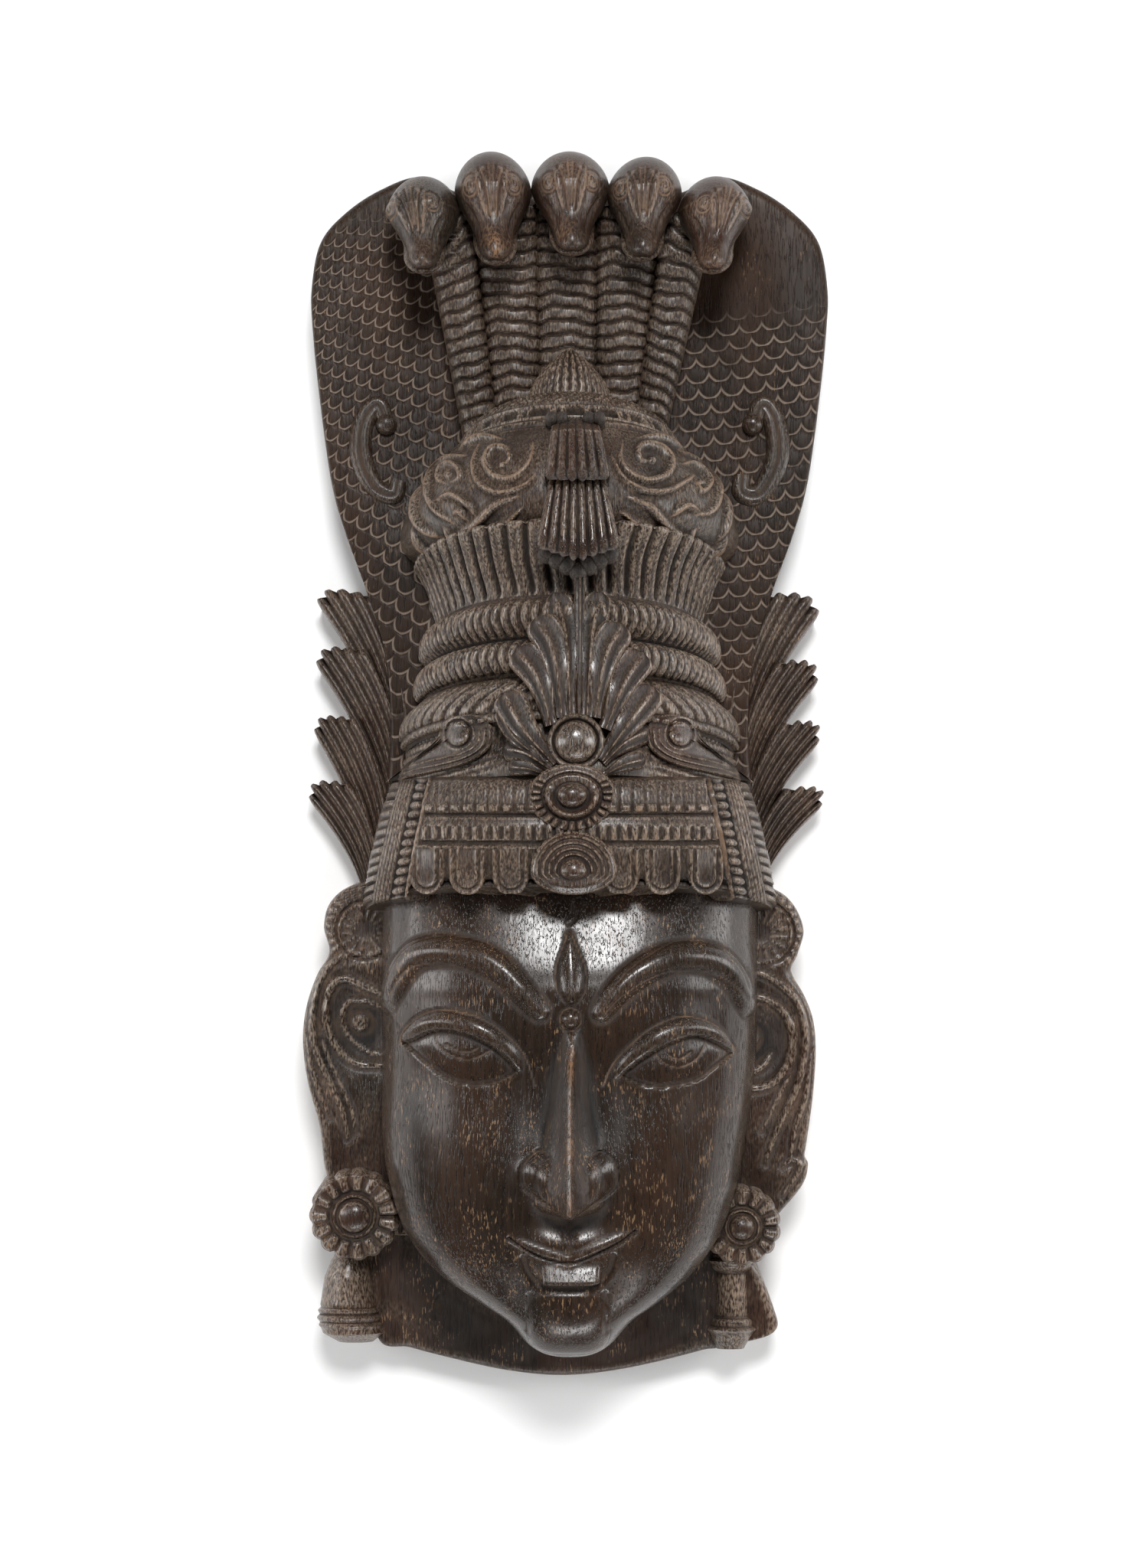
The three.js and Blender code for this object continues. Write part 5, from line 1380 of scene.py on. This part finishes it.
def neck_plate_rings():
    """Sections from a line hidden under the face out to the curved lower rim."""
    rim = even(spline(NECK_PLATE, 20), 260)
    angle = np.linspace(radians(205), radians(335), len(rim))
    inner_x = MIDLINE + NECK_INNER["half_width"] * np.cos(angle)
    inner = np.stack([inner_x, NECK_INNER["y"] + NECK_INNER["half_length"] * np.sin(angle)], -1)
    share = np.append(np.linspace(0, 0.9, 22), 1 - 0.1 * (1 - np.sin(np.linspace(0, pi / 2, 7)))[1:])
    flat = inner[:, None] + (rim - inner)[:, None] * share[:, None]
    x, y = flat[..., 0], flat[..., 1]
    inset = np.clip(1 - np.linalg.norm(rim[:, None] - flat, axis=2) / NECK_EDGE, 0, 1)
    z = NECK_THICK - edge_fall(inset, NECK_EDGE) + 0.5 * np.sin(x / 9 + np.sin(y / 7)) * (1 - inset)
    z = z + sum(cut(x, y, line, width=1.6, depth=1.2) for line in NECK_CRACKS)
    under = [np.column_stack([rim, np.full(len(rim), height)]) for height in (20, 10, NECK_LAYER)]
    under.append(np.column_stack([inner, np.full(len(rim), NECK_LAYER)]))
    return np.concatenate([np.dstack([x, y, z]), np.stack(under, 1)], 1)


neck_plate_wood = hardwood(
    "neck_plate_wood", gloss=0.45, dust_and_highlight=0.4, rub_and_highlight=0.3, warm=0.9, fleck=0.8, dense=0.015
)
carve("neck_plate", [neck_plate_rings()], neck_plate_wood)


# The ears: long boards beside the face with a coiled shell inside a flowing rim, and a small fan-shaped
# leaf above each. Their gouge cuts run long and shallow, and the rims are rubbed to tan, part wear and part
# painted highlight.
EAR_THICK = 45
EAR_EDGE = 6
EAR_LAYER = 0.6
# Each ridge: its line, width and rise. The bowl is a centre and two half sizes; core and fan end in a radius.
EARS = [
    {"inner": -88, "outline": [(-96, -62), (-120, -64.5), (-133, -74), (-137, -88), (-134, -103),
                               (-141, -116), (-147, -134), (-149, -154), (-146, -178), (-139.5, -202),
                               (-136, -228), (-128, -246), (-116, -262), (-90, -264)],
     "ridges": [([(-116, -104), (-122.1, -103), (-133, -110), (-140.8, -124.1), (-143, -146.2),
                  (-139.5, -161.5), (-130.8, -179.3), (-125, -195), (-123, -208)], 5.0, 3.4),
                ([(-134, -128), (-137, -148), (-135, -160), (-128, -176), (-121, -192),
                  (-119, -205)], 3.4, 1.8),
                ([(-146, -150), (-144, -166), (-138, -184), (-133, -196)], 3.6, 2.0),
                ([(-101, -128), (-113, -122.6), (-124.3, -117.6), (-132, -122), (-135.4, -134.9),
                  (-133.6, -148.4), (-126, -160), (-116.5, -166), (-101, -167)], 5.4, 3.6),
                ([(-101, -136), (-113, -130.6), (-122.4, -131), (-126, -139), (-122.4, -150.6),
                  (-112, -159), (-102, -161)], 3.6, 2.6)],
     "bowl": (-112, -145, 20, 21), "core": (-116, -143, 6), "fan": (-113, -90, 21)},
    {"inner": 88, "outline": [(96, -64), (118, -66.5), (130, -75), (136.4, -90), (133, -104),
                              (129.5, -114), (137, -128), (142, -142), (143.4, -160), (141.6, -186),
                              (138, -212), (137, -219), (139, -224), (136, -235), (124, -250),
                              (112, -262), (90, -264)],
     "ridges": [([(104, -113), (112, -114.6), (124, -121.9), (133.1, -132.8), (136.8, -150.6),
                  (134, -172.8), (126.6, -190.6), (120, -205), (114, -222)], 5.2, 3.6),
                ([(129, -132), (132, -150), (129, -168), (121, -186), (112, -204)], 3.4, 1.8),
                ([(140, -160), (137, -184), (131, -202), (128, -222)], 4.0, 2.4),
                ([(96, -131), (106, -127.6), (117, -130.6), (126.4, -139.3), (129.6, -152.8),
                  (126.6, -166.2), (117.6, -177), (104, -180), (96, -179)], 5.6, 3.8),
                ([(96, -170), (104, -170.6), (112, -168), (118, -160)], 4.2, 3.0),
                ([(124, -240), (131, -230), (134, -223), (129, -220), (124, -224)], 4.0, 2.2)],
     "bowl": (104, -153, 20, 21), "core": (105, -152, 7), "fan": (112, -92, 23)},
]


def ear_relief(x, y, ear):
    """The shell's bowl and core, the flowing ridges with a cut beside each, and the fan leaf's ribs."""
    relief = swell(x, y, ear["bowl"][:2], ear["bowl"][2:], -6.5)
    for points, width, rise in ear["ridges"]:
        relief += bead(x, y, points, width, rise, taper=0.3) + cut(x, y, points, width + 5, depth=1.0)
    core_x, core_y, core = ear["core"]
    away = np.hypot(x - core_x, y - core_y)
    relief += (3 + 0.8 * np.sin(x * 2.1) * np.sin(y * 1.7)) * (1 - smooth(away, core * 0.6, core))
    fan_x, fan_y, fan = ear["fan"]
    span, turn = np.hypot(x - fan_x, y - fan_y), np.arctan2(y - fan_y, x - fan_x)
    leaf = 0.9 * np.abs(np.sin(turn * 8)) * inside(span, 5, fan - 6, 1.5)
    leaf += 1.3 * np.abs(np.sin(turn * 14)) * smooth(span, fan - 4.4, fan - 3.4)
    leaf += 1.4 * peak(span - fan, -6, 0.9) - 1.2 * peak(span - fan, -4.6, 0.8) - 1.2
    return relief * smooth(-y, 100, 106) + leaf * smooth(y, -112, -104)


def slab_rings(shape, thick, edge, layer, relief=None, rows=150, across=48):
    """Rows down the block, each from a hidden inner line out to the outline, over its rounded edge and
    down to the saw line, with the shape's relief added on top."""
    line = spline(shape["outline"], 14)
    y = np.linspace(line[0, 1], line[-1, 1], rows)[:, None]
    outer = np.interp(-y, -line[:, 1], line[:, 0])
    share = 1 - (1 - np.linspace(0, 1, across)[None]) ** 1.25
    x = shape["inner"] + (outer - shape["inner"]) * share
    y = y + 0 * x
    inset = np.clip(1 - np.abs(outer - x) / edge, 0, 1)
    z = thick - edge_fall(inset, edge)
    if relief:
        z = z + relief(x, y, shape) * (1 - inset**3)
    walls = [
        np.dstack([x[:, [i]], y[:, [i]], np.full((rows, 1), height)])
        for i, height in ((-1, 16), (-1, layer), (0, layer))
    ]
    return np.concatenate([np.dstack([x, y, z]), *walls], 1)


ear_wood = hardwood(
    "ear_wood", gloss=0.3, dust_and_highlight=0.4, rub_and_highlight=1.0, warm=1.2, pale=0.25, fleck=0.7, shine=0.55
)
ears = [slab_rings(ear, EAR_THICK, EAR_EDGE, EAR_LAYER, ear_relief) for ear in EARS]
carve("ears", ears, ear_wood, fine=0.3, broad=1.1)


# The rosettes of the earrings, cut in the same wood under each ear: a polished boss in a thin ring, and round
# petals about it with notches between.
ROSETTES = [
    {"centre": (-118, -250), "half": 25.6, "boss": 9.2, "petals": 15, "height": 57},
    {"centre": (100, -256), "half": 22.2, "boss": 7.2, "petals": 14, "height": 57},
]
ROSETTE_FOOT = 1.0


def rosette_rings(shape, around=108):
    """A turned flower: polished boss, thin ring, a dished band and round petals, its rim drawn in between
    them."""
    half, boss = shape["half"], shape["boss"]
    turn = np.linspace(0, 2 * pi, around, endpoint=False)[None]
    radii = np.append(np.linspace(0.04, 1, 40) * half, half)[:, None]
    petal = np.abs(np.sin(turn * shape["petals"] / 2)) ** 0.6
    band = smooth(radii, boss + 2.8, boss + 4.2)
    rise = 6 * rounded(radii / boss) + 1.8 * peak(radii - boss, 1.9, 0.8)
    rise = rise + band * (3.4 * petal * smooth(radii, boss + 3.4, boss + 7) - 1.4)
    heights = shape["height"] + rise - 4.5 * smooth(radii, half * 0.9, half)
    heights[-1] = ROSETTE_FOOT
    factor = 1 - 0.07 * smooth(radii / half, 0.75, 1) * (1 - petal)
    return turned(shape["centre"], radii[:, 0], heights, around, factor)


earring_wood = hardwood(
    "earring_wood", gloss=0.32, dust_and_highlight=0.5, rub_and_highlight=1.0, warm=1.3, fleck=0.8, pale=0.2, shine=0.55, dense=0.01
)
rosettes = [rosette_rings(shape) for shape in ROSETTES]
carve("earring_rosettes", rosettes, earring_wood, fine=0.28, broad=1.1)


# The bells of the earrings, hanging below the rosettes but cut in the block: each has a collar and ring lines
# round its mouth. A plain flap stands beside the right bell.
BELLS = [
    {"x": (-121.5, -123, -124, -124, -123.5, -121, -119.5), "y": (-274, -281, -290, -302, -314, -322, -327),
     "half": (8, 11, 13.6, 15.4, 17.6, 17.4, 10), "rings": (-309, -313, -317.5)},
    {"x": (96, 96, 96, 96, 96, 96, 95), "y": (-277, -281, -284.5, -287.5, -312, -320, -331),
     "half": (11, 12, 11.4, 8.4, 9.4, 13.4, 8), "rings": (-281, -315, -320)},
]
BELL_MIDDLE = 30
BELL_FOOT = 1.5
FLAP = {
    "inner": 92,
    "outline": [(104, -278), (110, -284), (115, -294), (119.5, -306), (122.5, -318), (116, -324), (98, -328)],
}


def bell_rings(bell, rows=84, around=44):
    """A bell that lies on the block: ovals down its length with raised ring lines."""
    y = np.linspace(bell["y"][0], bell["y"][-1], rows)[:, None]
    x, half = (np.interp(-y, -np.array(bell["y"]), bell[key]) for key in ("x", "half"))
    for at in bell["rings"]:
        half = half + 0.9 * peak(y, at, 1.0) - 0.5 * peak(y - at, 2, 0.7)
    turn = np.linspace(0, 2 * pi, around, endpoint=False)[None]
    z = np.maximum(BELL_MIDDLE + 1.3 * half * np.sin(turn), BELL_FOOT)
    return np.dstack([x + half * np.cos(turn), y + 0.18 * (z - BELL_MIDDLE), z])


flap = slab_rings(FLAP, thick=34, edge=4, layer=0.9, rows=40, across=16)
carve("earring_bells", [bell_rings(bell) for bell in BELLS] + [flap], earring_wood)


# The place where the mask is shown: a plain white floor, a soft light high beyond the serpent heads, a weaker
# one low at the foot and a long one on each side. The camera looks straight down from 1.3 m above the floor.
LIGHTS = [
    {"name": "key_light", "at": (0.12, 1.24, 2.15), "aim": (0, 0, 0.05), "size": (0.62, 0.5), "power": 46},
    {"name": "foot_light", "at": (0.1, -1.6, 0.8), "aim": (0, -0.1, 0.05), "size": (1.2, 0.3), "power": 13},
    {"name": "left_light", "at": (-1.1, 0.0, 0.3), "aim": (0, 0, 0.06), "size": (0.4, 1.5), "power": 12},
    {"name": "right_light", "at": (1.1, 0.1, 0.34), "aim": (0, 0, 0.06), "size": (0.4, 1.5), "power": 12},
]
WORLD_GLOW = 0.09
FLOOR_HALF = 6.0
FLOOR_TONE = (252, 252, 252)
FLOOR_ROUGH = 0.9
CAMERA_AT = (0.0029, -0.00635, 1.3)
CAMERA_LENS = 50.78
CAMERA_SENSOR = 36


def soft_light(name, at, aim, size, power):
    """A rectangular lamp turned so that it shines from its place towards the aim."""
    lamp = bpy.data.lights.new(name, "AREA")
    lamp.shape = "RECTANGLE"
    lamp.size, lamp.size_y = size
    lamp.energy = power
    made = bpy.data.objects.new(name, lamp)
    made.location = at
    direction = Vector(aim) - Vector(at)
    made.rotation_euler = direction.to_track_quat("-Z", "Y").to_euler()
    bpy.context.scene.collection.objects.link(made)


for light in LIGHTS:
    soft_light(**light)

corners = [(FLOOR_HALF * a, FLOOR_HALF * b, 0) for a, b in ((-1, -1), (1, -1), (1, 1), (-1, 1))]
floor_mesh = bpy.data.meshes.new("floor")
floor_mesh.from_pydata(corners, [], [(0, 1, 2, 3)])
floor_paint = bpy.data.materials.new("white_floor")
floor_paint.use_nodes = True
paint = floor_paint.node_tree.nodes["Principled BSDF"]
paint.inputs["Base Color"].default_value = tone(*FLOOR_TONE)
paint.inputs["Roughness"].default_value = FLOOR_ROUGH
floor_mesh.materials.append(floor_paint)
floor = bpy.data.objects.new("floor", floor_mesh)
bpy.context.scene.collection.objects.link(floor)

world = bpy.data.worlds.new("studio")
world.use_nodes = True
glow = world.node_tree.nodes["Background"]
glow.inputs["Color"].default_value = (1, 1, 1, 1)
glow.inputs["Strength"].default_value = WORLD_GLOW
bpy.context.scene.world = world
bpy.context.scene.view_settings.view_transform = "Standard"

camera_data = bpy.data.cameras.new("camera")
camera_data.lens = CAMERA_LENS
camera_data.sensor_width = CAMERA_SENSOR
camera_data.sensor_fit = "AUTO"
camera = bpy.data.objects.new("camera", camera_data)
camera.location = CAMERA_AT
bpy.context.scene.collection.objects.link(camera)
bpy.context.scene.camera = camera
